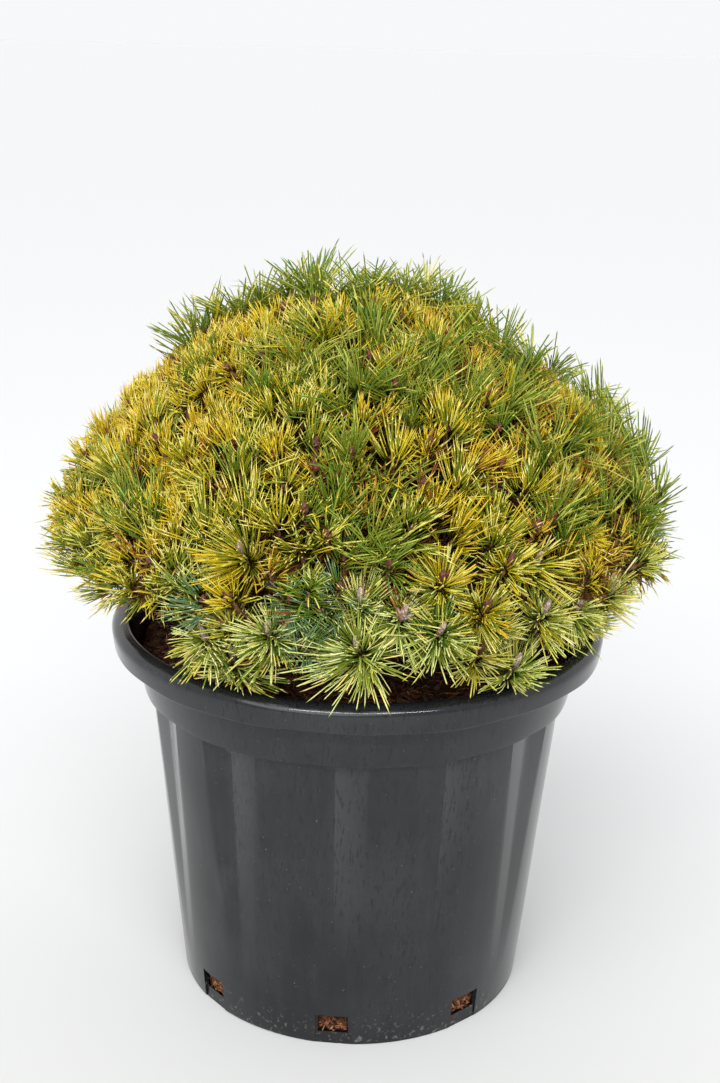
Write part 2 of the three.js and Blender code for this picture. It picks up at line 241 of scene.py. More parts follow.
def noiseAt(material, scale, detail=4, spread=(1, 1, 1)):
    settings = {"Vector": placed(material, spread), "Scale": scale, "Detail": detail}
    return addNode(material, "ShaderNodeTexNoise", settings).outputs["Fac"]


def ramp(material, factor, *stops):
    node = addNode(material, "ShaderNodeValToRGB", {"Fac": factor})
    elements = node.color_ramp.elements
    while len(elements) < len(stops):
        elements.new(0.5)
    for element, (place, colour) in zip(elements, stops):
        element.position = place
        element.color = (*colour, 1)
    return node.outputs["Color"]


def ranged(material, value, fromLow, fromHigh, toLow, toHigh):
    settings = {"Value": value, "From Min": fromLow, "From Max": fromHigh, "To Min": toLow, "To Max": toHigh}
    return addNode(material, "ShaderNodeMapRange", settings).outputs["Result"]


def product(material, a, b):
    return addNode(material, "ShaderNodeMath", {0: a, 1: b}, operation="MULTIPLY").outputs[0]


def blended(material, factor, under, over):
    node = addNode(material, "ShaderNodeMix", data_type="RGBA", blend_type="MIX")
    for index, value in ((0, factor), (6, under), (7, over)):
        if isinstance(value, bpy.types.NodeSocket):
            material.node_tree.links.new(value, node.inputs[index])
        else:
            node.inputs[index].default_value = value if index == 0 else (*value, 1)
    return node.outputs[2]


def bumped(material, height, distance, strength=1.0, under=None):
    inputs = {"Height": height, "Distance": distance, "Strength": strength}
    if under is not None:
        inputs["Normal"] = under
    return addNode(material, "ShaderNodeBump", inputs).outputs["Normal"]


def feed(material, shader, **sockets):
    names = {"colour": "Base Color", "roughness": "Roughness", "normal": "Normal"}
    for key, value in sockets.items():
        material.node_tree.links.new(value, shader.inputs[names[key]])


def addLight(name, kind, place, target, energy, **settings):
    light = bpy.data.objects.new(name, bpy.data.lights.new(name, kind))
    light.data.energy = energy
    for key, value in settings.items():
        setattr(light.data, key, value)
    light.location = place
    light.rotation_euler = (Vector(target) - Vector(place)).to_track_quat("-Z", "Y").to_euler()
    bpy.context.scene.collection.objects.link(light)


def makeStage():
    half = studio["floorSize"] / 2
    corners = [(-half, -half, 0), (half, -half, 0), (half, half, 0), (-half, half, 0)]
    material, shader = newFinish("pale_floor", studio["floorFar"], 0.6, 0.2)
    along = placed(material, (1, 1, 1))
    forwards = addNode(material, "ShaderNodeSeparateXYZ", {"Vector": along}).outputs["Y"]
    # painted shade: the floor's colour darkens towards the front
    share = ranged(material, forwards, *studio["floorFade"], 0, 1)
    feed(material, shader, colour=blended(material, share, studio["floorNear"], studio["floorFar"]))
    floor = addMesh("floor", corners, [(0, 1, 2, 3)], [material], smooth=False)

    world = bpy.data.worlds.new("studio")
    world.use_nodes = True
    around = addNode(world, "ShaderNodeTexCoord").outputs["Generated"]
    backwards = addNode(world, "ShaderNodeSeparateXYZ", {"Vector": around}).outputs["Y"]
    glow = ranged(world, backwards, *studio["skyFade"], studio["skyFront"], studio["skyBack"])
    background = world.node_tree.nodes["Background"]
    world.node_tree.links.new(glow, background.inputs["Strength"])
    background.inputs["Color"].default_value = (*studio["skyColour"], 1)
    bpy.context.scene.world = world

    addLight("sun", "SUN", studio["sunPlace"], (0, 0, 0), studio["sunPower"], angle=studio["sunSpread"])
    wide, deep = studio["stripSize"]
    addLight("strip", "AREA", studio["stripPlace"], studio["stripAim"], studio["stripPower"],
             shape="RECTANGLE", size=wide, size_y=deep, color=studio["stripColour"])
    bpy.context.scene.view_settings.view_transform = "Standard"


makeStage()
print("floor and light ready")


# pot

pot = {
    "height": 300 * mm,
    "baseRadius": 137 * mm,
    "bodyTopRadius": 160 * mm,
    "shoulderHeight": 244 * mm,
    "shoulderRadius": 166 * mm,
    "shoulderTopRadius": 172 * mm,
    "rimRadius": 190 * mm,
    "rimBand": 20 * mm,
    "rimRounding": 7.4 * mm,
    "rimDraft": 1.5 * mm,  # how much narrower the rim is at its lower edge
    "lipRadius": 177 * mm,
    "wall": 3 * mm,
    "flutes": 12,
    "fluteDepth": 5 * mm,
    "fluteFoot": 30 * mm,
    "fluteHalfAngle": math.radians(9),
    "fluteFootShare": 0.5,
    "turn": math.radians(-95),
    "hollowColumns": 18,
    "landColumns": 12,
    "bodyRows": 34,
    "wobble": 0.35 * mm,
    "edgeWave": 0.5 * mm,
    "waves": ((2, 1, 0.4, 0), (5, 0.5, 0, 40)),  # times round, share, start, and turn with height
    "edgeWaves": ((7, 1, 1, 0), (17, 0.7, 0, 0)),
    "creasing": 1.25,  # power of a flute's depth across it: 1 is a sharp crease, 2 a round hollow
    "keptSharp": math.radians(14),  # edges that turn by more stay sharp
}

drain = {
    "count": 8,
    "width": 23 * mm,
    "low": 10 * mm,
    "high": 23 * mm,
    "pocketWidth": 26 * mm,
    "pocketTop": 26 * mm,
    "pocketDepth": 1.4 * mm,
}

plastic = {
    "colour": tone(15, 16, 19),
    # the colour of dust, also used for the flutes' painted sheen
    "dustAndSheen": tone(72, 73, 76),
    "gloss": 0.46,
    "roughness": (0.08, 0.19),
    "smears": {"scale": 30, "detail": 6, "spread": (1, 1, 0.4)},
    "smearsFrom": (0.3, 0.72),
    # how much paler the pot turns towards its rim, and from which height
    "paleTowardsTop": 0.15,
    "paleTowardsTopFrom": 90 * mm,
    # painted sheen: one side of each flute is painted paler, from its crease to its edge, where light falls on it
    "sideSheen": 0.46,
    "sideSheenFrom": (80 * mm, 200 * mm),
    "sheenTurn": 0.167,  # share of a flute's pitch
    "sheenAcross": ((0, 0.9), (0.27, 0.25), (0.3, 0), (0.93, 0), (1, 0.12)),
    "footed": (2 * mm, 30 * mm),  # where the marks of the foot fade
    "grain": {"scale": 900, "detail": 2, "depth": 0.03 * mm, "strength": 0.4},
    "dents": {"scale": 1, "detail": 3, "spread": (60, 60, 8), "depth": 0.3 * mm, "strength": 0.35},
}

plasticMarks = (
    {"name": "haze", "scale": 11, "detail": 5, "reach": (0.42, 0.7), "most": 0.2},
    {"name": "rubbed", "scale": 1, "detail": 3, "spread": (150, 150, 6), "reach": (0.45, 0.75), "most": 0.07},
    {"name": "smears", **plastic["smears"], "reach": (0.6, 0.75), "most": 0.16},
    {"name": "scratches", "scale": 1, "detail": 5, "spread": (520, 520, 90), "reach": (0.54, 0.66), "most": 0.75,
     "colour": tone(14, 14, 16)},
    {"name": "specks", "scale": 520, "detail": 2, "reach": (0.73, 0.78), "most": 0.4, "colour": tone(150, 146, 138)},
    {"name": "footFlecks", "scale": 260, "detail": 4, "reach": (0.58, 0.68), "most": 0.5,
     "colour": tone(128, 124, 116)},
)

drainTurns = [pot["turn"] + k * 2 * math.pi / drain["count"] for k in range(drain["count"])]


def bodyRadius(height):
    return lerp(pot["baseRadius"], pot["bodyTopRadius"], height / pot["shoulderHeight"])


def corner(middle, radius, fromDegrees, toDegrees, steps):
    angles = np.radians(np.linspace(fromDegrees, toDegrees, steps))
    return [(middle[0] + radius * math.cos(a), middle[1] + radius * math.sin(a)) for a in angles]


def potOutline():
    # radius and height of each ring of points, up the outside and down the inside
    rimFoot = pot["height"] - pot["rimBand"]
    shoulder = pot["shoulderHeight"]
    rounding = pot["rimRounding"]
    rimLow = pot["rimRadius"] - pot["rimDraft"]
    outline = [(0.002, 0), (pot["baseRadius"] * 0.5, 0), (pot["baseRadius"] - 1.2 * mm, 0)]
    outline += corner((pot["baseRadius"] - 1.2 * mm, 1.2 * mm), 1.2 * mm, -60, 0, 3)
    heights = np.linspace(4 * mm, shoulder - 0.6 * mm, pot["bodyRows"])
    outline += [(bodyRadius(height), height) for height in heights]
    outline += [(pot["bodyTopRadius"] + 0.2 * mm, shoulder)]
    outline += corner((pot["shoulderRadius"] - 1 * mm, shoulder + 1.2 * mm), 1 * mm, -90, 0, 4)
    outline += [(lerp(pot["shoulderRadius"], pot["shoulderTopRadius"], s), lerp(shoulder, rimFoot, s))
                for s in (0.15, 0.4, 0.65, 0.85)]
    outline += corner((pot["shoulderTopRadius"] + 1.5 * mm, rimFoot - 1.5 * mm), 1.5 * mm, 180, 90, 4)
    outline += [(lerp(pot["shoulderTopRadius"], rimLow, 0.5), rimFoot)]
    outline += corner((rimLow - 1.2 * mm, rimFoot + 1.2 * mm), 1.2 * mm, -90, 0, 5)
    outline += [(lerp(rimLow, pot["rimRadius"], s), lerp(rimFoot, pot["height"] - rounding, s)) for s in (0.35, 0.7)]
    outline += corner((pot["rimRadius"] - rounding, pot["height"] - rounding), rounding, 0, 90, 9)
    outline += corner((pot["lipRadius"] + 3 * mm, pot["height"] - 3.3 * mm), 3 * mm, 90, 180, 8)
    inner = pot["wall"]
    outline += [
        (lerp(pot["lipRadius"], pot["shoulderTopRadius"] - inner, 0.5), pot["height"] - pot["rimBand"] / 2),
        (pot["shoulderTopRadius"] - inner, rimFoot),
        (pot["shoulderRadius"] - inner, shoulder + 1 * mm),
        (pot["bodyTopRadius"] - inner, shoulder),
    ]
    inside = np.linspace(shoulder * 0.9, 8 * mm, 12)
    outline += [(bodyRadius(height) - inner, height) for height in inside]
    outline += [(pot["baseRadius"] - inner, inner), (pot["baseRadius"] * 0.5, inner), (0.002, inner)]
    return np.array(outline)


def potColumns(heights):
    # angle and flute depth of every column at each height
    pitch = 2 * math.pi / pot["flutes"]
    shoulder = pot["shoulderHeight"]
    rise = np.clip((heights - pot["fluteFoot"]) / (shoulder - pot["fluteFoot"]), 0, 1)[:, None]
    half = pot["fluteHalfAngle"] * lerp(pot["fluteFootShare"], 1, rise)
    hollow = np.linspace(-1, 1, pot["hollowColumns"] + 1)[None, :]
    land = np.linspace(0, 1, pot["landColumns"] + 1)[1:-1][None, :]
    angles = np.concatenate((hollow * half, lerp(half, pitch - half, land)), axis=1)
    depths = np.concatenate((1 - np.abs(hollow) ** pot["creasing"], 0 * land), axis=1) * pot["fluteDepth"] * rise
    depths = depths * (heights <= shoulder - 0.1 * mm)[:, None]
    turns = pot["turn"] + pitch * np.arange(pot["flutes"])
    return np.concatenate([angles + turn for turn in turns], axis=1), np.tile(depths, (1, pot["flutes"]))


def boxAt(angle, radius, length, width, low, high):
    # a box whose length runs outwards from a radius
    out = np.array((math.cos(angle), math.sin(angle), 0))
    side = np.array((-math.sin(angle), math.cos(angle), 0))
    points = [out * (radius + a * length) + side * b * width / 2 + up * h
              for h in (low, high) for a, b in ((0, -1), (1, -1), (1, 1), (0, 1))]
    faces = [(0, 3, 2, 1), (4, 5, 6, 7), (0, 1, 5, 4), (1, 2, 6, 5), (2, 3, 7, 6), (3, 0, 4, 7)]
    return np.array(points), np.array(faces)


def cutAway(piece, boxes):
    cutter = addMesh("cutter", *joinParts(boxes), [], smooth=False)
    cut = piece.modifiers.new("cut", "BOOLEAN")
    cut.operation = "DIFFERENCE"
    cut.solver = "EXACT"
    cut.object = cutter
    bpy.context.view_layer.update()
    ready = piece.evaluated_get(bpy.context.evaluated_depsgraph_get())
    mesh = bpy.data.meshes.new_from_object(ready)
    piece.modifiers.clear()
    piece.data = mesh
    bpy.data.objects.remove(cutter)


def markNoise(material, mark):
    return noiseAt(material, mark["scale"], mark["detail"], mark.get("spread", (1, 1, 1)))


# painted sheen: one side of each flute is painted paler, as if lit from that side, fading out lower down and stopping
# at the shoulder
def paintedFluteSheen(material, height):
    where = {"Vector": placed(material, (1, 1, 1))}
    around = addNode(material, "ShaderNodeTexGradient", where, gradient_type="RADIAL").outputs["Fac"]
    counted = product(material, around, pot["flutes"])
    turned = addNode(material, "ShaderNodeMath", {0: counted, 1: plastic["sheenTurn"]}, operation="ADD").outputs[0]
    across = addNode(material, "ShaderNodeMath", {0: turned}, operation="FRACT").outputs[0]
    side = ramp(material, across, *[(place, (share,) * 3) for place, share in plastic["sheenAcross"]])
    upon = ranged(material, height, *plastic["sideSheenFrom"], 0, plastic["sideSheen"])
    below = ranged(material, height, pot["shoulderHeight"] - 1 * mm, pot["shoulderHeight"], 1, 0)
    return product(material, product(material, side, upon), below)


def plasticFinish():
    material, shader = newFinish("black_plastic", plastic["colour"], 0.4, plastic["gloss"])
    height = addNode(material, "ShaderNodeSeparateXYZ", {"Vector": placed(material, (1, 1, 1))}).outputs["Z"]
    # paler towards the rim
    paleTowardsTop = ranged(material, height, plastic["paleTowardsTopFrom"], pot["height"], 0, plastic["paleTowardsTop"])
    colour = blended(material, paleTowardsTop, plastic["colour"], plastic["dustAndSheen"])
    # the flutes' painted sheen
    colour = blended(material, paintedFluteSheen(material, height), colour, plastic["dustAndSheen"])
    for mark in plasticMarks:
        share = ranged(material, markNoise(material, mark), *mark["reach"], 0, mark["most"])
        if mark["name"] == "footFlecks":
            share = product(material, share, ranged(material, height, *plastic["footed"], 1, 0))
        colour = blended(material, share, colour, mark.get("colour", plastic["dustAndSheen"]))
    smears = markNoise(material, plastic["smears"])
    roughness = ranged(material, smears, *plastic["smearsFrom"], *plastic["roughness"])
    normal = None
    for relief in (plastic["grain"], plastic["dents"]):
        normal = bumped(material, markNoise(material, relief), relief["depth"], relief["strength"], normal)
    feed(material, shader, colour=colour, roughness=roughness, normal=normal)
    return material


def wavesAt(waves, angles, heights):
    return sum(share * np.sin(times * angles + start + turn * heights) for times, share, start, turn in waves)


def makePot():
    outline = potOutline()
    radii, heights = outline[:, 0:1], outline[:, 1]
    upright = heights[:, None]
    angles, depths = potColumns(heights)
    ease = np.clip(radii / 0.1, 0, 1)  # the middle of the base stays round
    uneven = pot["wobble"] * wavesAt(pot["waves"], angles, upright) * ease * (upright > 1 * mm)
    reach = np.maximum(radii - depths * ease, 1 * mm) + uneven
    edges = (upright > pot["shoulderHeight"] - 1 * mm) & (upright < pot["height"] - pot["rimBand"] + 3 * mm)
    edges = edges & (radii > pot["bodyTopRadius"] - 2 * mm)
    ripple = pot["edgeWave"] * wavesAt(pot["edgeWaves"], angles, upright) * edges
    rings = np.stack((reach * np.cos(angles), reach * np.sin(angles), upright + ripple), axis=2)
    points = np.concatenate((rings.reshape(-1, 3), [(0, 0, heights[0]), (0, 0, heights[-1])]))
    piece = addMesh("nursery_pot", points, closedRings(*angles.shape), [plasticFinish()])
    base = pot["baseRadius"]
    cutAway(piece, [boxAt(turn, base - 0.02, 0.04, drain["width"], drain["low"], drain["high"])
                    for turn in drainTurns])
    cutAway(piece, [boxAt(turn, base - drain["pocketDepth"], 0.02, drain["pocketWidth"], -0.01, drain["pocketTop"])
                    for turn in drainTurns])
    piece.data.set_sharp_from_angle(angle=pot["keptSharp"])
    return finishPiece(piece, "pot_plastic", "pot")


makePot()
print("pot ready")


# potting mix with its fibres

mix = {
    "top": 276 * mm,
    "lump": 5 * mm,
    "crumbs": 900,
    "fibres": 1300,
    "rings": 60,
    "columns": 160,
    "inset": 1.5 * mm,  # clear of the pot's wall
    "lowHeights": (250 * mm, 246 * mm, 26 * mm, 20 * mm, 14 * mm, 8 * mm),
    "unevenSide": 1.2 * mm,
    "colour": tone(52, 33, 22),
    "colours": ((0.3, tone(26, 16, 11)), (0.5, tone(66, 41, 28)), (0.7, tone(128, 82, 52))),
    "crumbSize": (1.0, 3.6),  # millimetres, as all four below
    "fibreLength": (8, 30),
    "fibreThickness": (0.25, 0.6),
    "drainLength": (3, 9),  # of the fibres behind the drain holes
    "drainThickness": (0.3, 0.8),
    "drainFibres": 46,
    "fibreColours": (tone(146, 86, 52), tone(92, 54, 36), tone(186, 140, 96)),
    "fibreShares": (0.5, 0.3, 0.2),
    "drainShares": (0.6, 0.2, 0.2),
    "surfaceFrom": 0.12,  # share of the mix's area inside which no fibre or crumb starts
    "crumbsFrom": 0.1,
    "curl": 0.9,  # of a fibre on the mix
    "lift": (-0.1, 0.5),
    "laid": 0.4 * mm,  # height of a fibre over the mix
    "drainSpread": 0.86,  # share of a drain hole's width in which its fibres start
    "drainTurn": 0.078,  # how far to a side they reach, as an angle of the pot
    "drainBack": (5, 7),  # millimetres behind the base's edge
    "drainBulge": (2, 4),
    "squash": (0.4, 1),  # of a crumb
    "corners": (0.75, 1.2),
    "seated": 0.3,  # share of its size that a crumb stands over the mix
    # relief: scale and height of the lumps and of the crumbly surface
    "lumps": (38, 0.7, 2.1, 4),
    "crumbly": (260, 1.6 * mm),
}

mixEdge = pot["shoulderTopRadius"] - pot["wall"]


def soilFinish():
    material, shader = newFinish("potting_mix", mix["colour"], 0.95, 0.2)
    coarse = noiseAt(material, 160, 8)
    fine = noiseAt(material, 700, 4)
    rough = bumped(material, fine, 0.8 * mm, 0.9, bumped(material, coarse, 3 * mm, 1.0))
    feed(material, shader, colour=ramp(material, coarse, *mix["colours"]), normal=rough)
    return material


def soilHeight(x, y):
    lumps, roughness, finer, octaves = mix["lumps"]
    crumbly, height = mix["crumbly"]
    broad = noise.fractal(Vector((x * lumps, y * lumps, 1.7)), roughness, finer, octaves)
    return mix["top"] + mix["lump"] * broad + height * noise.noise(Vector((x * crumbly, y * crumbly, 5.2)))


def makeSoil():
    rings = np.linspace(0, 1, mix["rings"]) ** 0.8 * (mixEdge - mix["inset"])
    rings[0] = 1.5 * mm
    angles = 2 * math.pi * np.arange(mix["columns"]) / mix["columns"]
    points = [(r * math.cos(a), r * math.sin(a), soilHeight(r * math.cos(a), r * math.sin(a)))
              for r in rings for a in angles]
    inset = pot["wall"] + 2 * mm
    lowHeights = mix["lowHeights"]
    lowRadii = [pot["shoulderRadius"] - inset, pot["bodyTopRadius"] - pot["fluteDepth"] - inset]
    lowRadii += [bodyRadius(height) - inset for height in lowHeights[2:]]
    for radius, height in zip(lowRadii, lowHeights):
        for a in angles:
            reach = radius + mix["unevenSide"] * noise.noise(Vector((a * 30, height * 300, 0)))
            points.append((reach * math.cos(a), reach * math.sin(a), height))
    points += [(0, 0, soilHeight(0, 0)), (0, 0, lowHeights[-1])]
    triangles = closedRings(len(rings) + len(lowRadii), len(angles), outward=False)
    piece = addMesh("soil", points, triangles, [soilFinish()])
    return finishPiece(piece, "potting_mix", "potting_mix")


def fibreFinish(number, colour):
    material, shader = newFinish(f"coir_{number}", colour, 0.8, 0.3)
    shade = noiseAt(material, 240, 3)
    feed(material, shader, colour=ramp(material, shade, (0.35, darker(colour, 0.45)), (0.65, colour)))
    return material


def spotOnMix(rng, inner):
    # evenly spread over the mix, outside an inner share of it
    radius = (mixEdge - 5 * mm) * math.sqrt(rng.uniform(inner, 1))
    turn = rng.uniform(0, 2 * math.pi)
    return radius * math.cos(turn), radius * math.sin(turn)


def surfaceFibre(rng):
    # a curl that lies on the mix
    x, y = spotOnMix(rng, mix["surfaceFrom"])
    heading = rng.uniform(0, 2 * math.pi)
    length = rng.uniform(*mix["fibreLength"]) * mm
    curl = rng.normal(0, mix["curl"])
    lift = rng.uniform(*mix["lift"]) / 2
    path = []
    for share in np.linspace(0, 1, 5):
        away = heading + curl * share
        px = x + length * share * math.cos(away)
        py = y + length * share * math.sin(away)
        path.append((px, py, soilHeight(px, py) + mix["laid"] + lift * length * math.sin(math.pi * share)))
    return path


def drainFibre(rng, turn):
    # a curl behind a drain hole, kept within the hole's width and height
    base = pot["baseRadius"]
    spot = turn + rng.uniform(-0.5, 0.5) * mix["drainSpread"] * drain["width"] / base
    height = rng.uniform(drain["low"] + 1 * mm, drain["high"] - 1.5 * mm)
    start = base - rng.uniform(*mix["drainBack"]) * mm
    heading = rng.uniform(0, 2 * math.pi)
    length = rng.uniform(*mix["drainLength"]) * mm
    path = []
    for share in np.linspace(0, 1, 4):
        out = start + math.sin(math.pi * share) * rng.uniform(*mix["drainBulge"]) * mm + 1.0 * mm
        a = spot + length * (share - 0.5) * math.cos(heading) / base
        a = np.clip(a, turn - mix["drainTurn"], turn + mix["drainTurn"])
        h = height + length * (share - 0.5) * math.sin(heading)
        h = np.clip(h, drain["low"] + 0.6 * mm, drain["high"] - 0.8 * mm)
        path.append((out * math.cos(a), out * math.sin(a), h))
    return path


def makeFibres():
    rng = np.random.default_rng(61)
    parts = []
    slots = []

    def addFibre(path, thickness, along, shares):
        thick = rng.uniform(*thickness) * mm
        parts.append(tube(path, [thick * factor for factor in along], 4))
        slots.append(np.full(len(parts[-1][1]), rng.choice(3, p=shares)))

    for _ in range(mix["fibres"]):
        path = surfaceFibre(rng)
        if max(math.hypot(x, y) for x, y, _ in path) <= mixEdge - 2 * mm:
            addFibre(path, mix["fibreThickness"], (0.6, 1, 1, 0.9, 0.4), mix["fibreShares"])
    for turn in drainTurns:
        for _ in range(mix["drainFibres"]):
            addFibre(drainFibre(rng, turn), mix["drainThickness"], (0.8, 1, 1, 0.5), mix["drainShares"])
    materials = [fibreFinish(n, colour) for n, colour in enumerate(mix["fibreColours"])]
    piece = addMesh("coir_fibres", *joinParts(parts), materials, np.concatenate(slots))
    return finishPiece(piece, "potting_mix")


def makeCrumbs():
    rng = np.random.default_rng(62)
    corners = unit(np.array([(1, 1, 1), (1, -1, -1), (-1, 1, -1), (-1, -1, 1), (1, 1, -1), (-1, 1, 1), (1, -1, 1),
                             (-1, -1, -1)], float))
    faces = np.array([(0, 4, 5), (5, 4, 2), (0, 6, 1), (0, 1, 4), (3, 7, 6), (6, 7, 1), (3, 5, 2), (3, 2, 7),
                      (0, 5, 3), (0, 3, 6), (4, 1, 7), (4, 7, 2)])
    parts = []
    for _ in range(mix["crumbs"]):
        x, y = spotOnMix(rng, mix["crumbsFrom"])
        size = rng.uniform(*mix["crumbSize"]) * mm
        squash = rng.uniform(*mix["squash"], 3)
        spin, _ = np.linalg.qr(rng.normal(size=(3, 3)))
        shape = corners * rng.uniform(*mix["corners"], (8, 1)) * squash * size
        parts.append((shape @ spin.T + (x, y, soilHeight(x, y) + mix["seated"] * size), faces))
    piece = addMesh("mix_crumbs", *joinParts(parts), [bpy.data.materials["potting_mix"]], smooth=False)
    return finishPiece(piece, "potting_mix")


makeSoil()
makeFibres()
makeCrumbs()
print("potting mix ready")


# crown: its outline, and the masses that share it out by direction

def seeded(seed):
    state = seed
    while True:
        state = state * 16807 % 2147483647
        yield state / 2147483647


def direction(azimuth, elevation):
    level = math.cos(elevation)
    return np.array((math.cos(azimuth) * level, math.sin(azimuth) * level, math.sin(elevation)))


crown = {
    "middle": np.array((-3, 0, 375)) * mm,
    "halfWidth": 241 * mm,
    "rise": 195 * mm,
    "drop": 86 * mm,
    "upperPower": 1.62,
    "lowerPower": 2.6,
    "lowest": math.radians(-35),
    "lobes": ((3, 0.014, 0.6), (5, 0.011, 2.1)),
    "potClear": 1.5 * mm,
    "mixClear": 4 * mm,
}

rings = (
    {"name": "top", "count": 1, "elevation": 90, "sprays": 12},
    {"name": "upper", "count": 6, "elevation": 36, "sprays": 8, "root": 326 * mm, "rootStep": 16 * mm},
    {"name": "lower", "count": 9, "elevation": -3, "sprays": 8, "root": 289 * mm, "rootStep": 13 * mm},
)

growth = {
    "ringTwist": 0.35,
    "azimuthSwing": 0.3,
    "elevationSwing": 7,
    "boughTip": 0.36,  # shares of the way from the crown's middle to its outline
    "fork": 0.66,
    "seat": 0.83,
    "shootTip": 0.885,  # of the finer shoots that grow on past the seats
    "depthSwing": 0.055,
    "axisSwing": 0.2,
    "lowerUpward": 0.35,  # how much more the lower shoots turn up
    "starLift": math.radians(46),
    "starSwing": 0.1,
    "swell": 0.02,
    "sizes": (0.82, 1.15),
    "inner": 0.68,  # of the old sprays inside
    "innerSprays": 130,
    "innerHeights": (1, -0.3),
    "cellMargin": 9 * mm,
    "upward": 0.5,
    "sprays": 820,
    "tries": 12,
    "namedApart": 12 * mm,
    # height of a direction under which only named sprays grow, and where that front and left part begin and are full
    "lowestFront": -0.12,
    "frontFade": (0.35, 0.2),
    "lowestLeft": -0.04,
    "leftFade": (0.6, 0.25),
    # flatter places of the crown: direction, depth and width
    "flats": (
        (direction(math.radians(178), math.radians(30)), 0.045, 0.4),
        (direction(math.radians(90), math.radians(74)), 0.075, 0.5),
        (direction(math.radians(35), math.radians(46)), 0.09, 0.4),
        (direction(math.radians(5), math.radians(30)), 0.035, 0.35),
    ),
}


def outlineReach(towards):
    above = towards[..., 2] > 0
    level = np.hypot(towards[..., 0], towards[..., 1]) / crown["halfWidth"]
    steep = np.abs(towards[..., 2]) / np.where(above, crown["rise"], crown["drop"])
    power = np.where(above, crown["upperPower"], crown["lowerPower"])
    azimuth = np.arctan2(towards[..., 1], towards[..., 0])
    swell = sum(depth * np.cos(times * (azimuth - first)) for times, depth, first in crown["lobes"])
    even = (level**power + steep**power) ** (-1 / power)
    return even * (1 + level * even * swell)


def crownPoint(towards, share):
    return crown["middle"] + towards * outlineReach(towards)[..., None] * share


def crownShare(points):
    # how far out points lie, as a share of the way to the outline
    away = points - crown["middle"]
    return np.linalg.norm(away, axis=-1) / outlineReach(unit(away))


def outlineNormal(towards):
    step = 0.02
    level = np.cross(up, towards)
    side = unit(level) if np.linalg.norm(level) > step else np.array((1.0, 0, 0))
    rise = np.cross(towards, side)

    def beside(axis, amount):
        return crownPoint(unit(towards + axis * amount), 1)

    alongSide = beside(side, step) - beside(side, -step)
    alongRise = beside(rise, step) - beside(rise, -step)
    return unit(np.cross(alongSide, alongRise))


def seenOnCrown(x, y, share):
    # where the line from the camera through a place in its picture enters the crown, or passes nearest to it
    along = np.linspace(0.7, 1.6, 1801)[:, None]
    points = np.array(cameraSetup["place"]) + pictureRay(x, y) * along
    shares = crownShare(points)
    inside = np.nonzero(shares < share)[0]
    return points[inside[0] if len(inside) else np.argmin(shares)]


def layOutMasses():
    masses = []
    for level, ring in enumerate(rings):
        draw = seeded(1009 + 77 * level)
        for number in range(1, ring["count"] + 1):
            alone = ring["count"] == 1
            swing = growth["azimuthSwing"] * (next(draw) - 0.5)
            tilt = growth["elevationSwing"] * (next(draw) - 0.5)
            azimuth = 2 * math.pi * (number + growth["ringTwist"] * level + swing) / ring["count"]
            elevation = ring["elevation"] + (0 if alone else tilt)
            masses.append({
                "ring": ring,
                "number": number,
                "name": ring["name"] if alone else f"{ring['name']}_{number}",
                "seed": 5003 + 311 * len(masses),
                "axis": direction(azimuth, math.radians(elevation)),
            })
    for mass in masses:
        others = [other["axis"] for other in masses if other is not mass]
        mass["walls"] = unit(mass["axis"] - np.array(others))
    return masses


masses = layOutMasses()
massAxes = np.array([mass["axis"] for mass in masses])


def insideCell(mass, point):
    return np.min(mass["walls"] @ (point - crown["middle"]))


def drawnDirection(draw):
    height = lerp(math.sin(crown["lowest"]), 1, next(draw))
    return direction(2 * math.pi * next(draw), math.asin(height))


def sourceSprays(mass):
    # the sprays that the solid has too, each the farthest of several tries from those before it
    draw = seeded(mass["seed"])
    chosen = []
    while len(chosen) < mass["ring"]["sprays"]:
        best = None
        for _ in range(growth["tries"]):
            while True:
                towards = drawnDirection(draw)
                seat = crownPoint(towards, growth["seat"])
                if insideCell(mass, seat) > growth["cellMargin"]:
                    break
            apart = min([crown["halfWidth"]] + [np.linalg.norm(other - seat) for other in chosen])
            if best is None or apart > best[0]:
                best = (apart, seat)
        chosen.append(best[1])
    return chosen


# sprays that catch the eye, by the place of their buds in the camera's picture

stars = (
    {"at": (358, 650), "size": 1.06}, {"at": (269, 636), "size": 0.7}, {"at": (234, 660), "size": 0.86},
    {"at": (207, 640), "size": 0.7}, {"at": (401, 619), "size": 0.64, "cluster": 3}, {"at": (439, 634), "size": 0.78},
    {"at": (362, 603), "size": 0.52}, {"at": (514, 667), "size": 0.72, "cluster": 2},
    {"at": (483, 613), "size": 0.62, "buds": "purple", "tinted": "cluster"},
    {"at": (441, 584), "size": 0.64, "buds": "purple", "cluster": 2, "tinted": "cluster"},
    {"at": (543, 615), "size": 0.66, "tinted": "fresh"}, {"at": (574, 611), "size": 0.62},
    {"at": (609, 593), "size": 0.62, "tinted": "fresh"}, {"at": (534, 566), "size": 0.6, "tinted": "lime"},
    {"at": (507, 568), "size": 0.56, "buds": "purple", "tinted": "cluster"},
    {"at": (495, 540), "size": 0.58, "buds": "purple", "tinted": "lime"},
    {"at": (478, 655), "size": 0.6, "buds": "purple", "tinted": "fresh"},
    {"at": (243, 556), "size": 0.6, "tinted": "lime"},
)

blues = (
    {"at": (290, 600), "size": 0.9}, {"at": (322, 612), "size": 0.9}, {"at": (304, 644), "size": 0.8},
    {"at": (340, 590), "size": 0.8}, {"at": (205, 600), "size": 0.8},
)

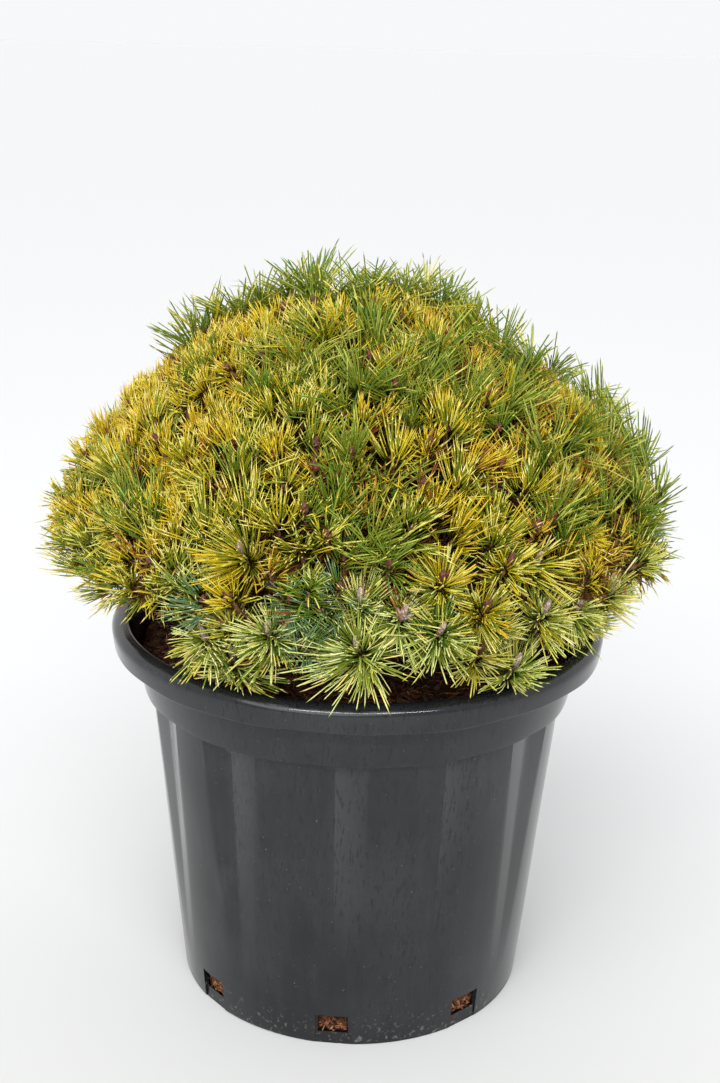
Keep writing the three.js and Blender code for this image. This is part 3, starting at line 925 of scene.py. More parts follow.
clusters = (
    {"at": (88, 458), "size": 0.9, "tinted": "gold"}, {"at": (108, 436), "size": 0.9, "tinted": "golden"},
    {"at": (64, 522), "size": 0.9, "tinted": "gold"}, {"at": (146, 424), "size": 0.85, "tinted": "gold"},
    {"at": (472, 470), "size": 0.85, "tinted": "rusty"}, {"at": (556, 430), "size": 0.8, "tinted": "rusty"},
    {"at": (470, 366), "size": 0.8, "tinted": "rusty"}, {"at": (600, 488), "size": 0.8, "tinted": "rusty"},
    {"at": (302, 418), "size": 0.95}, {"at": (316, 446), "size": 0.9}, {"at": (84, 566), "size": 1.0},
    {"at": (104, 586), "size": 1.0}, {"at": (132, 588), "size": 0.9}, {"at": (160, 592), "size": 0.85},
    {"at": (124, 474), "size": 1.0}, {"at": (117, 531), "size": 1.1}, {"at": (128, 531), "size": 0.8},
    {"at": (95, 544), "size": 1.0}, {"at": (62, 499), "size": 1.0}, {"at": (207, 538), "size": 1.1},
    {"at": (176, 540), "size": 0.9}, {"at": (245, 520), "size": 1.0}, {"at": (211, 488), "size": 1.0},
    {"at": (188, 464), "size": 0.9}, {"at": (158, 427), "size": 0.9}, {"at": (225, 424), "size": 1.0},
    {"at": (184, 407), "size": 0.8}, {"at": (256, 453), "size": 0.9}, {"at": (285, 490), "size": 1.0},
    {"at": (276, 527), "size": 0.9}, {"at": (300, 551), "size": 0.9}, {"at": (395, 460), "size": 1.0},
    {"at": (411, 530), "size": 1.1}, {"at": (456, 487), "size": 1.1}, {"at": (493, 512), "size": 0.9},
    {"at": (524, 492), "size": 1.1}, {"at": (446, 432), "size": 1.0}, {"at": (654, 563), "size": 0.9},
)

tufts = (
    {"at": (196, 350), "size": 0.9}, {"at": (212, 338), "size": 0.75}, {"at": (240, 322), "size": 1.1},
    {"at": (262, 308), "size": 0.85}, {"at": (292, 306), "size": 1.15}, {"at": (309, 296), "size": 1.05},
    {"at": (322, 300), "size": 0.95}, {"at": (340, 300), "size": 0.8}, {"at": (355, 304), "size": 0.9},
    {"at": (371, 298), "size": 0.8}, {"at": (388, 306), "size": 0.95}, {"at": (405, 304), "size": 1.0},
    {"at": (422, 308), "size": 1.05}, {"at": (438, 316), "size": 0.85}, {"at": (452, 324), "size": 0.85},
    {"at": (468, 334), "size": 0.7}, {"at": (300, 372), "size": 1.2}, {"at": (324, 345), "size": 0.9},
    {"at": (360, 397), "size": 1.25}, {"at": (376, 352), "size": 0.85}, {"at": (411, 408), "size": 1.0},
    {"at": (436, 362), "size": 0.9}, {"at": (462, 412), "size": 0.9}, {"at": (503, 412), "size": 1.15},
    {"at": (530, 408), "size": 0.9}, {"at": (498, 360), "size": 0.9}, {"at": (548, 376), "size": 0.9},
    {"at": (566, 455), "size": 1.15}, {"at": (574, 404), "size": 0.9}, {"at": (598, 430), "size": 0.95},
    {"at": (618, 462), "size": 0.95}, {"at": (637, 470), "size": 1.0}, {"at": (655, 500), "size": 0.95},
    {"at": (113, 478), "size": 0.8}, {"at": (152, 536), "size": 0.9}, {"at": (345, 560), "size": 0.9},
    {"at": (222, 430), "size": 0.8}, {"at": (240, 480), "size": 0.9}, {"at": (385, 496), "size": 0.7},
)

bareSpots = (  # where the mix shows, by place in the camera's picture
    {"at": (146, 632), "room": 34 * mm},
    {"at": (178, 652), "room": 16 * mm},
)

# share of the way out to the outline, room that each takes, and how many buds where that is fixed
namedKinds = {
    "star": {"sprays": stars, "share": 0.87, "gap": 1.2, "apart": 42 * mm, "buds": "grey", "cluster": 1},
    "blue": {"sprays": blues, "share": 0.87, "gap": 1.1, "apart": 20 * mm},
    "cluster": {"sprays": clusters, "share": 0.88, "gap": 1.05, "apart": 20 * mm},
    "tuft": {"sprays": tufts, "share": 0.87, "gap": 1.0, "apart": 15 * mm},
}


def namedSprays():
    sprays = []
    for kind, rule in namedKinds.items():
        for named in rule["sprays"]:
            tip = seenOnCrown(*named["at"], rule["share"])
            taken = [np.linalg.norm(other["tip"] - tip) < growth["namedApart"] for other in sprays]
            if not any(taken):
                sprays.append({**rule, **named, "kind": kind, "tip": tip})
    return sprays


def tooLow(towards):
    # at the front and on the left the crown ends higher, and the mix shows between the named sprays
    lowest = math.sin(crown["lowest"])
    rules = ((1, "frontFade", "lowestFront"), (0, "leftFade", "lowestLeft"))
    limits = []
    for axis, fade, limit in rules:
        start, width = growth[fade]
        limits.append(lerp(lowest, growth[limit], np.clip((-towards[axis] - start) / width, 0, 1)))
    return towards[2] < max(limits)


def flatter(towards):
    lower = 0
    for middle, depth, width in growth["flats"]:
        away = np.arccos(np.clip(towards @ middle, -1, 1))
        lower += depth * math.exp(-((away / width) ** 2))
    return lower


def placeSprays():
    sprays = namedSprays()
    named = np.array([spray["tip"] for spray in sprays])
    room = np.array([spray["apart"] * spray["size"] for spray in sprays])
    sights = np.array([pictureRay(*spot["at"]) for spot in bareSpots])
    spotRoom = np.array([spot["room"] for spot in bareSpots])
    print(len(sprays), "sprays placed by name")

    def grown(tip):
        return {"kind": "plain", "tip": tip, "size": 1.0, "gap": 1.0, "apart": 0}

    def kept(seat):
        beside = np.linalg.norm(np.cross(seat - cameraSetup["place"], sights), axis=1)
        bare = seat[1] < 0 and np.any(beside < spotRoom)
        crowded = np.any(np.linalg.norm(named - seat, axis=1) < room)
        return not (bare or crowded or tooLow(unit(seat - crown["middle"])))

    for mass in masses:
        sprays += [grown(seat) for seat in sourceSprays(mass) if kept(seat)]
    draw = seeded(4021)
    while len(sprays) < growth["sprays"]:
        tips = np.array([spray["tip"] for spray in sprays])
        gaps = np.array([spray["gap"] for spray in sprays])
        best = None
        for _ in range(3 * growth["tries"]):
            seat = crownPoint(drawnDirection(draw), growth["shootTip"])
            if not kept(seat):
                continue
            apart = np.min(np.linalg.norm(tips - seat, axis=1) / gaps)
            if best is None or apart > best[0]:
                best = (apart, seat)
        sprays.append(grown(best[1]))
    for number in range(growth["innerSprays"]):
        # evenly spread inside, turned by the golden angle from one to the next
        height = lerp(*growth["innerHeights"], (number + 0.5) / growth["innerSprays"])
        towards = direction(number * math.pi * (3 - math.sqrt(5)), math.asin(height))
        sprays.append({**grown(crownPoint(towards, growth["inner"])), "kind": "inner"})
    return sprays


# needles, in pairs round the last stretch of every shoot

needles = {
    "shoot": 14 * mm,
    "scatter": 8,  # degrees
    "waviness": 0.16,
    "spread": math.radians(13),  # between the two of a pair
    "combing": 0.2,  # bend that all the needles of a spray share
    "oldShare": 0.28,  # of a spray's pairs, last year's and browner
    "rightOldShare": 0.36,  # of the upper sprays on the right
    "starOldShare": 0.08,
    "oldLength": 0.66,
    "oldDepth": 0.05,
    "earlyTips": 0.5,  # share of the needles whose lighter end starts early
    "strays": 0.07,  # share of the long-needled kinds that curl away
    "favoured": 0.3,  # share of a spray's needles that take its one favoured tint
    "lengths": (0.76, 1.12),
    "shortest": 9 * mm,
    "gathered": 0.8,  # under 1 for more needles towards the shoot's tip
    "oldPlaces": (-1.2, 0),
    "rootOut": 1.5 * mm,
    "curlByHeight": (0.55, 1.4),  # curl at the crown's middle height, and what height adds
    "curlRange": (-0.3, 1),
    "bends": (0.5, 1.3),
    "strayHook": (0.4, 0.9),
    "strayStretch": 1.1,
    "pairBend": 0.06,
    "pairLengths": (0.93, 1.03),
    "thickness": (0.85, 1.15),
    "coarseRings": (0.38, 0.8),  # where along the needle its rings of points are
    "fineRings": (0.3, 0.62, 0.92),
    "ringSwing": 0.05,
    "leastLength": 0.25,  # share of its length that a needle cut to the outline keeps
    "halvings": 7,  # steps of the search for the length that fits
    "potCuts": 4,  # how often a needle that touches the pot is cut
    "potCut": 0.8,  # and to what share each time
    "potProbe": 0.6,  # where along a needle the pot is looked for, beside its tip
}

# how each kind of spray grows: length, pairs, opening from the shoot at its lower end and at its tip, droop away
# from the shoot, curl towards the sky, reach as shares of the crown's outline, and how often each tint comes
habits = {
    "gold": {
        "length": 21 * mm, "pairs": 36, "open": (70, 6), "droop": 0.04, "curl": 0.36, "reach": (0.94, 1.0),
        "thick": 0.49 * mm, "base": {"deepGreen": 5, "olive": 3, "green": 2},
        "body": {"gold": 3, "yellowGreen": 7, "olive": 1, "orange": 1},
        "tip": {"gold": 6, "lime": 3, "paleGold": 2, "amber": 1},
    },
    "golden": {
        "length": 20 * mm, "pairs": 37, "open": (70, 6), "droop": 0.04, "curl": 0.36, "reach": (0.94, 1.0),
        "thick": 0.49 * mm, "base": {"olive": 5, "deepGreen": 3, "brown": 1},
        "body": {"gold": 6, "amber": 1, "yellowGreen": 5},
        "tip": {"gold": 6, "amber": 2, "paleGold": 3, "lime": 1},
    },
    "lime": {
        "length": 23 * mm, "pairs": 35, "open": (72, 6), "droop": 0.08, "curl": 0.34, "reach": (0.94, 1.0),
        "thick": 0.5 * mm, "base": {"deepGreen": 5, "green": 3, "olive": 2},
        "body": {"yellowGreen": 4, "freshGreen": 5, "lime": 1},
        "tip": {"lime": 5, "paleGold": 2, "yellowGreen": 3, "gold": 1},
    },
    "green": {
        "length": 27 * mm, "pairs": 32, "open": (54, 4), "droop": 0.34, "curl": 0.2, "reach": (0.95, 1.03),
        "thick": 0.53 * mm, "lift": 0.4, "base": {"deepGreen": 8, "green": 2},
        "body": {"freshGreen": 4, "green": 3, "leafGreen": 4},
        "tip": {"freshGreen": 6, "leafGreen": 3, "lime": 1, "softGreen": 2},
    },
    "rusty": {
        "length": 20 * mm, "pairs": 30, "open": (80, 10), "droop": 0.04, "curl": 0.36, "reach": (0.92, 0.97),
        "thick": 0.49 * mm, "base": {"brown": 5, "olive": 4},
        "body": {"olive": 5, "gold": 4, "amber": 2, "rust": 2},
        "tip": {"gold": 4, "amber": 4, "orange": 2, "rust": 1},
    },
    "blue": {
        "length": 28 * mm, "pairs": 52, "open": (96, 20), "droop": 0.16, "curl": 0.05, "reach": (0.96, 1.05),
        "thick": 0.46 * mm, "base": {"deepGreen": 4, "green": 5},
        "body": {"blueGreen": 6, "leafGreen": 4},
        "tip": {"blueGreen": 5, "paleGreen": 5},
    },
    "star": {
        "length": 34 * mm, "pairs": 140, "open": (104, 20), "droop": 0.2, "curl": 0.1, "reach": (1.02, 1.12),
        "thick": 0.5 * mm, "base": {"leafGreen": 4, "green": 5, "deepGreen": 1},
        "body": {"softGreen": 6, "paleGreen": 2, "freshGreen": 4, "leafGreen": 3},
        "tip": {"paleGreen": 7, "lime": 4, "cream": 1, "paleGold": 3},
    },
    "fresh": {
        "length": 27 * mm, "pairs": 38, "open": (80, 8), "droop": 0.1, "curl": 0.3, "reach": (0.95, 1.02),
        "thick": 0.52 * mm, "base": {"green": 5, "deepGreen": 4},
        "body": {"softGreen": 5, "lime": 4, "freshGreen": 3, "yellowGreen": 2},
        "tip": {"lime": 5, "paleGreen": 4, "cream": 1, "paleGold": 3},
    },
    "cluster": {
        "length": 26 * mm, "pairs": 44, "open": (84, 8), "droop": 0.12, "curl": 0.26, "reach": (0.95, 1.02),
        "thick": 0.52 * mm, "base": {"deepGreen": 5, "green": 3, "olive": 2},
        "body": {"yellowGreen": 4, "lime": 1, "freshGreen": 5},
        "tip": {"lime": 5, "gold": 3, "paleGold": 2, "paleGreen": 1},
    },
    "tuft": {
        "length": 38 * mm, "pairs": 30, "open": (34, 3), "droop": 0.6, "curl": 0.1, "reach": (0.98, 1.09),
        "thick": 0.57 * mm, "lift": 0.9, "base": {"deepGreen": 7, "green": 3},
        "body": {"freshGreen": 6, "leafGreen": 3, "yellowGreen": 1},
        "tip": {"freshGreen": 5, "softGreen": 4, "leafGreen": 3, "lime": 2},
    },
    "inner": {
        "length": 34 * mm, "pairs": 24, "open": (95, 30), "droop": 0.0, "curl": 0.05, "reach": (0.8, 0.88),
        "thick": 0.95 * mm, "base": {"brown": 5, "deepGreen": 4},
        "body": {"brown": 4, "deepGreen": 5, "olive": 2},
        "tip": {"brown": 4, "deepGreen": 4, "olive": 2},
    },
}

fineHabits = ("green", "tuft", "star")  # with one ring of points more to a needle

tints = {
    "deepGreen": tone(58, 70, 8),
    "green": tone(104, 113, 18),
    "freshGreen": tone(124, 137, 36),
    "leafGreen": tone(96, 128, 36),
    "softGreen": tone(168, 177, 74),
    "paleGreen": tone(208, 214, 132),
    "olive": tone(116, 99, 14),
    "yellowGreen": tone(187, 171, 30),
    "blueGreen": tone(106, 136, 96),
    "brown": tone(80, 46, 18),
    "lime": tone(212, 202, 92),
    "paleGold": tone(236, 217, 124),
    "cream": tone(238, 232, 172),
    "gold": tone(219, 188, 44),
    "amber": tone(204, 160, 52),
    "orange": tone(158, 96, 42),
    "rust": tone(122, 66, 34),
}

tintNames = list(tints)
oldTints = {"brown": 4, "olive": 2, "rust": 4, "orange": 5, "amber": 1}
strayTints = {"softGreen": 4, "freshGreen": 3, "lime": 2}


def needleFinish(name, colour):
    material, shader = newFinish(f"needle_{name}", colour, 0.45, 0.26)
    return material


needleMaterials = [needleFinish(name, colour) for name, colour in tints.items()]


def chooseTints(rng, weights, count):
    names = list(weights)
    chances = np.array([weights[name] for name in names], float)
    picked = rng.choice(len(names), size=count, p=chances / chances.sum())
    return np.array([tintNames.index(name) for name in names])[picked]


def sprayTints(rng, weights, count):
    # one favoured tint of the spray's own among the others
    favoured = chooseTints(rng, weights, 1)[0]
    mixed = chooseTints(rng, weights, count)
    return np.where(rng.random(count) < needles["favoured"], favoured, mixed)


# what decides between the kinds where no spray is named
mixture = {
    "patchScale": 9,
    "tuftsAbove": 0.3,  # height of a direction
    "tufts": 0.03,
    "rightTufts": 0.1,  # what is added beyond this place
    "rightTuftsFrom": 80 * mm,
    "greenTop": (10, 0.4, 0.5),  # rise with x, share in the middle, and height from where it counts
    # how golden a place is: to start with, by x, by patch, by height and by the green top
    "golden": 0.5,
    "goldenRight": -2.0,
    "goldenPatch": 0.9,
    "goldenHigh": 0.5,
    "goldenGreenTop": -1.1,
    "lowFront": (4, 2),  # how soon the low front begins, going down and going forwards
}

# each kind's chance: even everywhere, by how golden the place is, on the right, at least, and at the low front
chances = {
    "golden": {"even": -0.3, "golden": 1.5, "lowFront": -1},
    "gold": {"even": 1, "lowFront": -0.7},
    "lime": {"even": 0.5, "lowFront": 0.6},
    "green": {"even": 1.1, "golden": -1, "least": 0.12, "lowFront": -0.4},
    "rusty": {"even": 0.3, "right": 0.8, "lowFront": -1},
    "fresh": {"even": 0, "lowFrontAlone": 2.4},
}


def habitFor(spray, rng):
    # golden on the left, greener to the right
    if spray["kind"] != "plain":
        return spray["kind"]
    x, y, z = spray["tip"]
    height = spray["towards"][2]
    scale = mixture["patchScale"]
    patch = noise.noise(Vector((x * scale, y * scale, z * scale)))
    tufts = mixture["tufts"] + mixture["rightTufts"] * (x > mixture["rightTuftsFrom"])
    if height > mixture["tuftsAbove"] and rng.random() < tufts:
        return "tuft"
    rise, middle, high = mixture["greenTop"]
    greenTop = np.clip(x * rise + middle, 0, 1) * max(height - high, 0)
    golden = (mixture["golden"] + mixture["goldenRight"] * x + mixture["goldenPatch"] * patch
              + mixture["goldenHigh"] * height + mixture["goldenGreenTop"] * greenTop)
    down, forwards = mixture["lowFront"]
    lowFront = np.clip(-height * down - y * forwards, 0, 1)
    weights = []
    for chance in chances.values():
        weight = chance["even"] + chance.get("golden", 0) * golden + chance.get("right", 0) * (x > 0)
        weight = max(weight, chance.get("least", 0)) * (1 + chance.get("lowFront", 0) * lowFront)
        weights.append(weight + chance.get("lowFrontAlone", 0) * lowFront)
    weights = np.array(weights)
    return list(chances)[rng.choice(len(chances), p=weights / weights.sum())]


def aroundAxis(axis):
    square = unit(np.cross(axis, sideways))
    return square, np.cross(axis, square)


def growSpray(spray, rng):
    # arrays of needles: root, heading, bend, length, thickness, reach and tints
    habit = habits[spray["habit"]]
    size = spray["size"]
    fresh = int(habit["pairs"] * size)
    upperRight = spray["towards"][0] > 0.05 and spray["towards"][2] > 0.25
    oldShare = needles["rightOldShare" if upperRight else "oldShare"]
    old = int(fresh * (needles["starOldShare"] if spray["kind"] == "star" else oldShare))
    count = fresh + old
    axis, tip = spray["axis"], spray["tip"]
    square, other = aroundAxis(axis)
    place = rng.uniform(0, 1, fresh) ** needles["gathered"]  # 1 at the shoot's tip
    place = np.concatenate((place, rng.uniform(*needles["oldPlaces"], old)))
    opening = np.radians(lerp(*habit["open"], place.clip(0, 1)) + rng.normal(0, needles["scatter"], count))
    turn = rng.uniform(0, 2 * math.pi, count)
    outward = np.cos(turn)[:, None] * square + np.sin(turn)[:, None] * other
    root = tip + axis * ((place - 1) * needles["shoot"])[:, None] + outward * needles["rootOut"]
    heading = unit(axis * np.cos(opening)[:, None] + outward * np.sin(opening)[:, None])
    length = habit["length"] * size * rng.uniform(*needles["lengths"], count)
    level, byHeight = needles["curlByHeight"]
    curl = habit["curl"] * float(np.clip(level + byHeight * spray["towards"][2], *needles["curlRange"]))
    bend = (up * curl + outward * habit["droop"]) * rng.uniform(*needles["bends"], count)[:, None]
    bend += rng.normal(0, needles["combing"], 3) + rng.normal(0, needles["waviness"], heading.shape)
    tinted = habits[spray.get("tinted", spray["habit"])]
    base = sprayTints(rng, tinted["base"], count)
    body = sprayTints(rng, tinted["body"], count)
    ends = sprayTints(rng, tinted["tip"], count)
    stale = np.arange(count) >= fresh
    length[stale] *= needles["oldLength"]
    base[stale] = chooseTints(rng, oldTints, old)
    body[stale] = chooseTints(rng, oldTints, old)
    ends[stale] = body[stale]
    upper = np.where(rng.random(count) < needles["earlyTips"], ends, body)
    stray = (rng.random(count) < needles["strays"]) & ~stale & (spray["habit"] in ("tuft", "green"))
    hook = unit(np.cross(heading[stray], rng.normal(size=(stray.sum(), 3))))
    bend[stray] = hook * rng.uniform(*needles["strayHook"], stray.sum())[:, None]
    length[stray] *= needles["strayStretch"]
    body[stray] = chooseTints(rng, strayTints, stray.sum())
    upper[stray] = body[stray]
    # the two of a pair part a little
    part = unit(np.cross(heading, rng.normal(size=heading.shape))) * math.tan(needles["spread"] / 2)
    twice = np.arange(2 * count) % count
    parted = np.concatenate((part, -part))
    low, high = habit["reach"]
    return {
        "root": root[twice],
        "heading": unit(heading[twice] + parted),
        "bend": bend[twice] + rng.normal(0, needles["pairBend"], (2 * count, 3)),
        "length": length[twice] * rng.uniform(*needles["pairLengths"], 2 * count),
        "thick": habit["thick"] * rng.uniform(*needles["thickness"], 2 * count),
        "most": rng.uniform(low, high, 2 * count) + spray["swell"] - needles["oldDepth"] * stale[twice],
        "base": base[twice],
        "body": body[twice],
        "upper": upper[twice],
        "ends": ends[twice],
    }


def alongNeedle(grown, length, share):
    bent = grown["heading"] * share + grown["bend"] * share**2
    return grown["root"] + bent * length[:, None]


def touchesPot(points):
    away = np.hypot(points[:, 0], points[:, 1])
    inRim = away < pot["lipRadius"] - crown["potClear"]
    floor = np.where(inRim, mix["top"] + crown["mixClear"], pot["height"] + crown["potClear"])
    beyond = away > pot["rimRadius"] + 2 * mm
    return (points[:, 2] < floor) & ~beyond


def trimNeedles(grown):
    # shortened until each tip keeps within its reach and off the pot
    def inside(length):
        return crownShare(alongNeedle(grown, length, 1.0)) < grown["most"]

    def hitsPot(length):
        probe = alongNeedle(grown, length, needles["potProbe"])
        return touchesPot(alongNeedle(grown, length, 1.0)) | touchesPot(probe)

    length = grown["length"]
    low = length * needles["leastLength"]
    high = length.copy()
    for _ in range(needles["halvings"]):
        middle = (low + high) / 2
        fits = inside(middle)
        low = np.where(fits, middle, low)
        high = np.where(fits, high, middle)
    length = np.where(inside(length), length, low)
    for _ in range(needles["potCuts"]):
        length = np.where(hitsPot(length), length * needles["potCut"], length)
    keep = ~hitsPot(length) & (length > needles["shortest"])
    return {key: value[keep] for key, value in {**grown, "length": length}.items()}


def needleBodies(grown, shares, rng):
    # closed three-sided bodies, pointed at both ends, with a ring of points at each share of their length
    count = len(grown["length"])
    side = unit(np.cross(grown["heading"], rng.normal(size=grown["heading"].shape)))
    other = np.cross(grown["heading"], side)
    points = [grown["root"]]
    for share in shares:
        share = (share + rng.uniform(-needles["ringSwing"], needles["ringSwing"], count))[:, None]
        centre = alongNeedle(grown, grown["length"], share)
        for angle in (0, 2 * math.pi / 3, 4 * math.pi / 3):
            spoke = side * math.cos(angle) + other * math.sin(angle)
            points.append(centre + spoke * grown["thick"][:, None])
    points.append(alongNeedle(grown, grown["length"], 1.0))
    corners = len(points)
    pattern = [(0, 1 + (k + 1) % 3, 1 + k) for k in range(3)]
    for ring in range(len(shares) - 1):
        for k in range(3):
            low, nextLow = 1 + 3 * ring + k, 1 + 3 * ring + (k + 1) % 3
            pattern += [(low, nextLow, nextLow + 3), (low, nextLow + 3, low + 3)]
    last = corners - 4
    pattern += [(last + k, last + (k + 1) % 3, corners - 1) for k in range(3)]
    points = np.stack(points, axis=1).reshape(-1, 3)
    faces = (np.arange(count)[:, None, None] * corners + np.array(pattern)).reshape(-1, 3)
    # the base tints, mostly deep green and olive, are partly the needles' own green base and partly painted shade at
    # the heart of each spray
    zones = [grown["base"]] * 3 + [grown["body"]] * 6 + [grown["upper"]] * 6 * (len(shares) - 2) + [grown["ends"]] * 3
    return points, faces, np.stack(zones, axis=1).ravel()


def growCrown():
    rng = np.random.default_rng(17)
    sprays = placeSprays()
    for spray in sprays:
        plain = spray["kind"] == "plain"
        spray["towards"] = unit(spray["tip"] - crown["middle"])
        spray["mass"] = int(np.argmax(massAxes @ spray["towards"]))
        spray["habit"] = habitFor(spray, rng)
        spray["swell"] = rng.uniform(-growth["swell"], growth["swell"])
        normal = outlineNormal(spray["towards"])
        lift = growth["upward"] + growth["lowerUpward"] * (1 - max(spray["towards"][2], 0))
        spray["axis"] = unit(normal + up * lift + rng.normal(0, growth["axisSwing"], 3))
        if plain:
            lower = flatter(spray["towards"])
            depth = growth["shootTip"] + growth["depthSwing"] * rng.uniform(-1, 1) - lower
            spray["swell"] -= lower
            spray["tip"] = crownPoint(spray["towards"], depth)
            spray["size"] = rng.uniform(*growth["sizes"])
        if "lift" in habits[spray["habit"]]:
            spray["axis"] = unit(spray["axis"] + up * habits[spray["habit"]]["lift"])
        if spray["kind"] == "star":
            level = unit(spray["towards"] * (1, 1, 0))
            raised = level * math.cos(growth["starLift"]) + up * math.sin(growth["starLift"])
            spray["axis"] = unit(raised + rng.normal(0, growth["starSwing"], 3))
    return sprays


sprays = growCrown()
print(len(sprays), "sprays laid out")


def makeNeedles():
    rng = np.random.default_rng(29)
    total = 0
    for index, mass in enumerate(masses):
        parts = []
        slots = []
        for fine in (False, True):
            own = [growSpray(spray, rng) for spray in sprays
                   if spray["mass"] == index and (spray["habit"] in fineHabits) == fine]
            if not own:
                continue
            grown = trimNeedles({key: np.concatenate([one[key] for one in own]) for key in own[0]})
            points, faces, tinted = needleBodies(grown, needles["fineRings" if fine else "coarseRings"], rng)
            parts.append((points, faces))
            slots.append(tinted)
        piece = addMesh(f"needles_{mass['name']}", *joinParts(parts), needleMaterials, np.concatenate(slots))
        finishPiece(piece, "needles", f"foliage_{mass['name']}")
        total += len(piece.data.polygons)
    print(total, "triangles of needles")


makeNeedles()


# stem, boughs, twigs and buds

wood = {
    "baseRadius": 15 * mm,
    "tipRadius": 6 * mm,
    "flare": 0.75,
    "flareHeight": 0.07,
    "fluting": 0.14,
    "lean": 5 * mm,
    "uprightShare": 0.2,
    "boughRadius": 6 * mm,
    "boughTip": 3.6 * mm,
    "boughOutward": 34 * mm,
    "lastStretch": 30 * mm,
    "twigRadius": 2.4 * mm,
    "shootRadius": 1.7 * mm,
    "clear": 0.4 * mm,
    "stemSteps": 44,
    "stemRelief": 0.16,
    "boughRelief": 0.18,
    "boughSteps": (20, 8),  # inside the crown's core, and on to the fork
    "twigFrom": 0.44,  # share of the way out, up to the fork
    "twigLeaving": 25 * mm,
    "twigArriving": 30 * mm,
    "twigSteps": 6,
}


def barkFinish(name, dark, light, scale):
    material, shader = newFinish(name, light, 0.9, 0.2)
    plates = noiseAt(material, scale, 6, (1, 1, 0.45))
    fine = noiseAt(material, scale * 5, 4)
    colour = ramp(material, plates, (0.35, dark), (0.62, light))
    rough = bumped(material, fine, 0.4 * mm, 0.8, bumped(material, plates, 1.6 * mm, 1.0))
    feed(material, shader, colour=colour, normal=rough)
    return material


barkMaterial = barkFinish("bark", tone(48, 34, 26), tone(120, 96, 76), 120)
twigMaterial = barkFinish("twig_bark", tone(58, 36, 24), tone(138, 98, 62), 260)


def stemPath(steps):
    foot = np.array((0, 0, mix["top"] + wood["clear"]))
    tip = crownPoint(up, growth["boughTip"])
    stretch = up * wood["uprightShare"] * (tip[2] - foot[2])
    middle = lerp(foot, tip, 0.5) + (wood["lean"], wood["lean"], 0)
    lower = bezier(foot, foot + stretch, middle - stretch, middle, steps // 2)
    upper = bezier(middle, middle + stretch, tip - stretch, tip, steps - steps // 2 + 1)
    return np.concatenate((lower, upper[1:]))


def barkRelief(seed, depth):
    def around(angle, step):
        place = Vector((math.cos(angle) * 1.6, math.sin(angle) * 1.6, step * 0.35 + seed))
        return 1 + depth * noise.fractal(place, 0.6, 2.2, 4)

    return lambda step, angles: np.array([around(angle, step) for angle in angles])


def makeStem():
    path = stemPath(wood["stemSteps"])
    along = np.linspace(0, 1, len(path))
    flare = np.exp(-along / wood["flareHeight"])
    radii = lerp(wood["baseRadius"], wood["tipRadius"], along**0.8) * (1 + wood["flare"] * flare)
    rough = barkRelief(3.0, wood["stemRelief"])

    def relief(step, angles):
        return rough(step, angles) * (1 + wood["fluting"] * flare[step] * np.sin(4 * angles))

    piece = addMesh("stem_bark", *tube(path, radii, 36, relief), [barkMaterial])
    return finishPiece(piece, "bark", "stem")


def makeBoughs():
    path = stemPath(wood["stemSteps"])
    inner, outer = wood["boughSteps"]
    for mass in masses:
        ring = mass["ring"]
        tip = crownPoint(mass["axis"], growth["boughTip"])
        fork = crownPoint(mass["axis"], growth["fork"])
        own = lerp(tip, fork, np.linspace(0, 1, outer)[:, None])
        if "root" not in ring:
            radii = np.linspace(wood["tipRadius"], wood["twigRadius"], outer)
            shape = tube(own, radii, 14, barkRelief(7.7, wood["stemRelief"]))
            finishPiece(addMesh("leader_bark", *shape, [barkMaterial]), "bark")
            continue
        height = ring["root"] + (mass["number"] % 3) * ring["rootStep"]
        start = path[np.argmin(np.abs(path[:, 2] - height))]
        leaving = start + unit((tip - start) * (1, 1, 0)) * wood["boughOutward"]
        first = bezier(start, leaving, tip - mass["axis"] * wood["lastStretch"], tip, inner)
        radii = np.concatenate((
            np.linspace(wood["boughRadius"], wood["boughTip"], inner),
            np.linspace(wood["boughTip"], wood["twigRadius"], outer)[1:],
        ))
        relief = barkRelief(mass["number"] * 5.3, wood["boughRelief"])
        shape = tube(np.concatenate((first, own[1:])), radii, 16, relief)
        piece = addMesh(f"bark_{mass['name']}", *shape, [barkMaterial])
        finishPiece(piece, "bark", f"bough_{mass['name']}")


def makeTwigs():
    # one to every shoot, from its own mass's bough
    rng = np.random.default_rng(43)
    steps = wood["twigSteps"]
    radii = np.linspace(wood["twigRadius"], wood["shootRadius"], steps)
    parts = []
    for spray in sprays:
        axis = masses[spray["mass"]]["axis"]
        start = crownPoint(axis, rng.uniform(wood["twigFrom"], growth["fork"]))
        shootFoot = spray["tip"] - spray["axis"] * needles["shoot"]
        arriving = shootFoot - spray["axis"] * wood["twigArriving"]
        path = bezier(start, start + axis * wood["twigLeaving"], arriving, shootFoot, steps)
        parts.append(tube(np.concatenate((path, [spray["tip"]])), [*radii, wood["shootRadius"]], 4))
    piece = addMesh("twigs", *joinParts(parts), [twigMaterial])
    return finishPiece(piece, "bark")


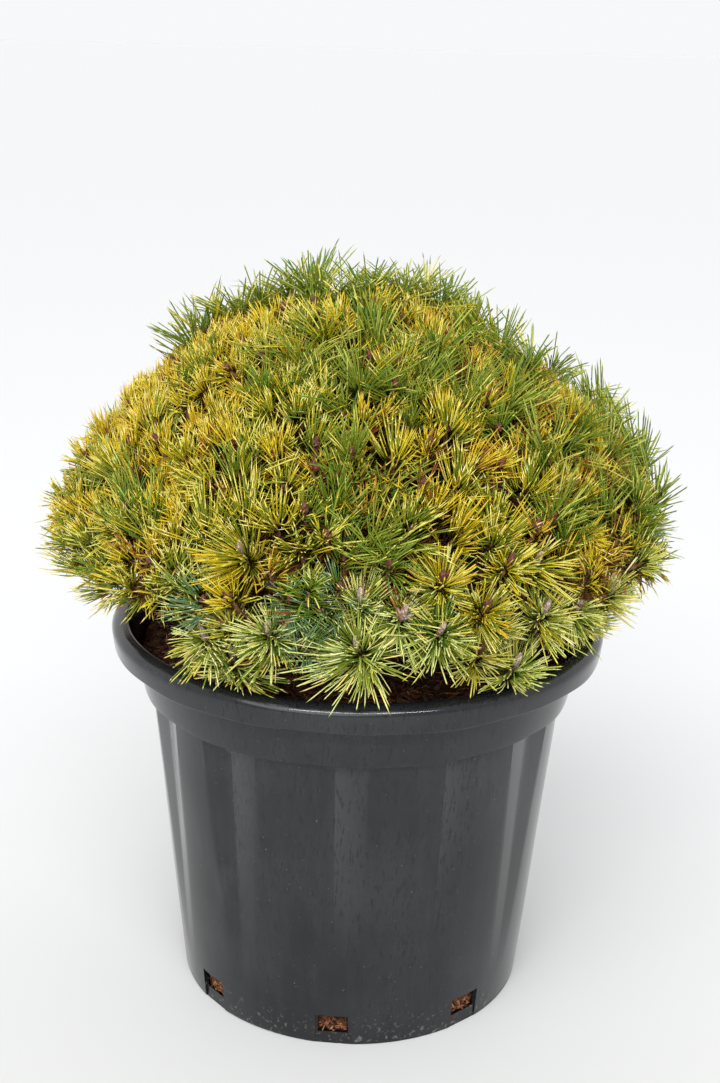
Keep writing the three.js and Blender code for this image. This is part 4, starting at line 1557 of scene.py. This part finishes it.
buds = {
    "length": 9 * mm,
    "radius": 2.3 * mm,
    "starLength": 17 * mm,
    "starRadius": 2.6 * mm,
    "chance": 0.8,  # that a plain spray shows its buds
    "numbers": (0.3, 0.25, 0.25, 0.2),  # how often one, two, three and four
    "lean": (28, 50),  # degrees, of all but the first
    "starUpward": 0.4,
    "lengths": (0.85, 1.1),
    "widths": (0.9, 1.1),
    "laterLength": 0.8,
    "laterWidth": 0.85,
    "seated": 1 * mm,
    "sides": (7, 5),  # of a star's buds and of the others
    "profile": ((0, 0.6), (0.2, 1.0), (0.6, 0.92), (0.9, 0.4)),
    "grey": tone(226, 196, 186),
    "purple": tone(138, 82, 66),
}


def budFinish(name, colour):
    material, shader = newFinish(name, colour, 0.7, 0.3)
    scales = addNode(material, "ShaderNodeTexVoronoi", {"Vector": placed(material, (1, 1, 0.6)), "Scale": 620})
    shade = ranged(material, scales.outputs["Distance"], 0.1, 0.7, 0, 1)
    scaly = ramp(material, shade, (0.15, colour), (0.85, darker(colour, 0.4)))
    feed(material, shader, colour=scaly, normal=bumped(material, shade, -0.5 * mm, 0.9))
    return material


def makeBuds():
    rng = np.random.default_rng(47)
    parts = []
    slots = []
    for spray in sprays:
        if spray["kind"] == "inner" or (spray["kind"] == "plain" and rng.random() > buds["chance"]):
            continue
        star = spray["kind"] == "star"
        longest = buds["starLength" if star else "length"]
        widest = buds["starRadius" if star else "radius"]
        cluster = spray.get("cluster", 0) or rng.choice((1, 2, 3, 4), p=buds["numbers"])
        square, other = aroundAxis(spray["axis"])
        first = rng.uniform(0, 2 * math.pi)
        for n in range(cluster):
            lean = 0 if n == 0 else math.radians(rng.uniform(*buds["lean"]))
            turn = first + 2 * math.pi * n / max(cluster - 1, 1)
            outward = square * math.cos(turn) + other * math.sin(turn)
            lift = up * (buds["starUpward"] if star else 0)
            heading = unit(spray["axis"] * math.cos(lean) + outward * math.sin(lean) + lift)
            length = longest * rng.uniform(*buds["lengths"]) * (1 if n == 0 else buds["laterLength"])
            radius = widest * rng.uniform(*buds["widths"]) * (1 if n == 0 else buds["laterWidth"])
            path = [spray["tip"] + heading * (share * length - buds["seated"]) for share, _ in buds["profile"]]
            parts.append(tube(path, [radius * wide for _, wide in buds["profile"]], buds["sides"][0 if star else 1]))
            slots.append(np.full(len(parts[-1][1]), 0 if spray.get("buds") == "grey" else 1))
    materials = [budFinish("grey_bud", buds["grey"]), budFinish("purple_bud", buds["purple"])]
    piece = addMesh("buds", *joinParts(parts), materials, np.concatenate(slots))
    return finishPiece(piece, "needles")


makeStem()
makeBoughs()
makeTwigs()
makeBuds()
print("wood and buds ready")
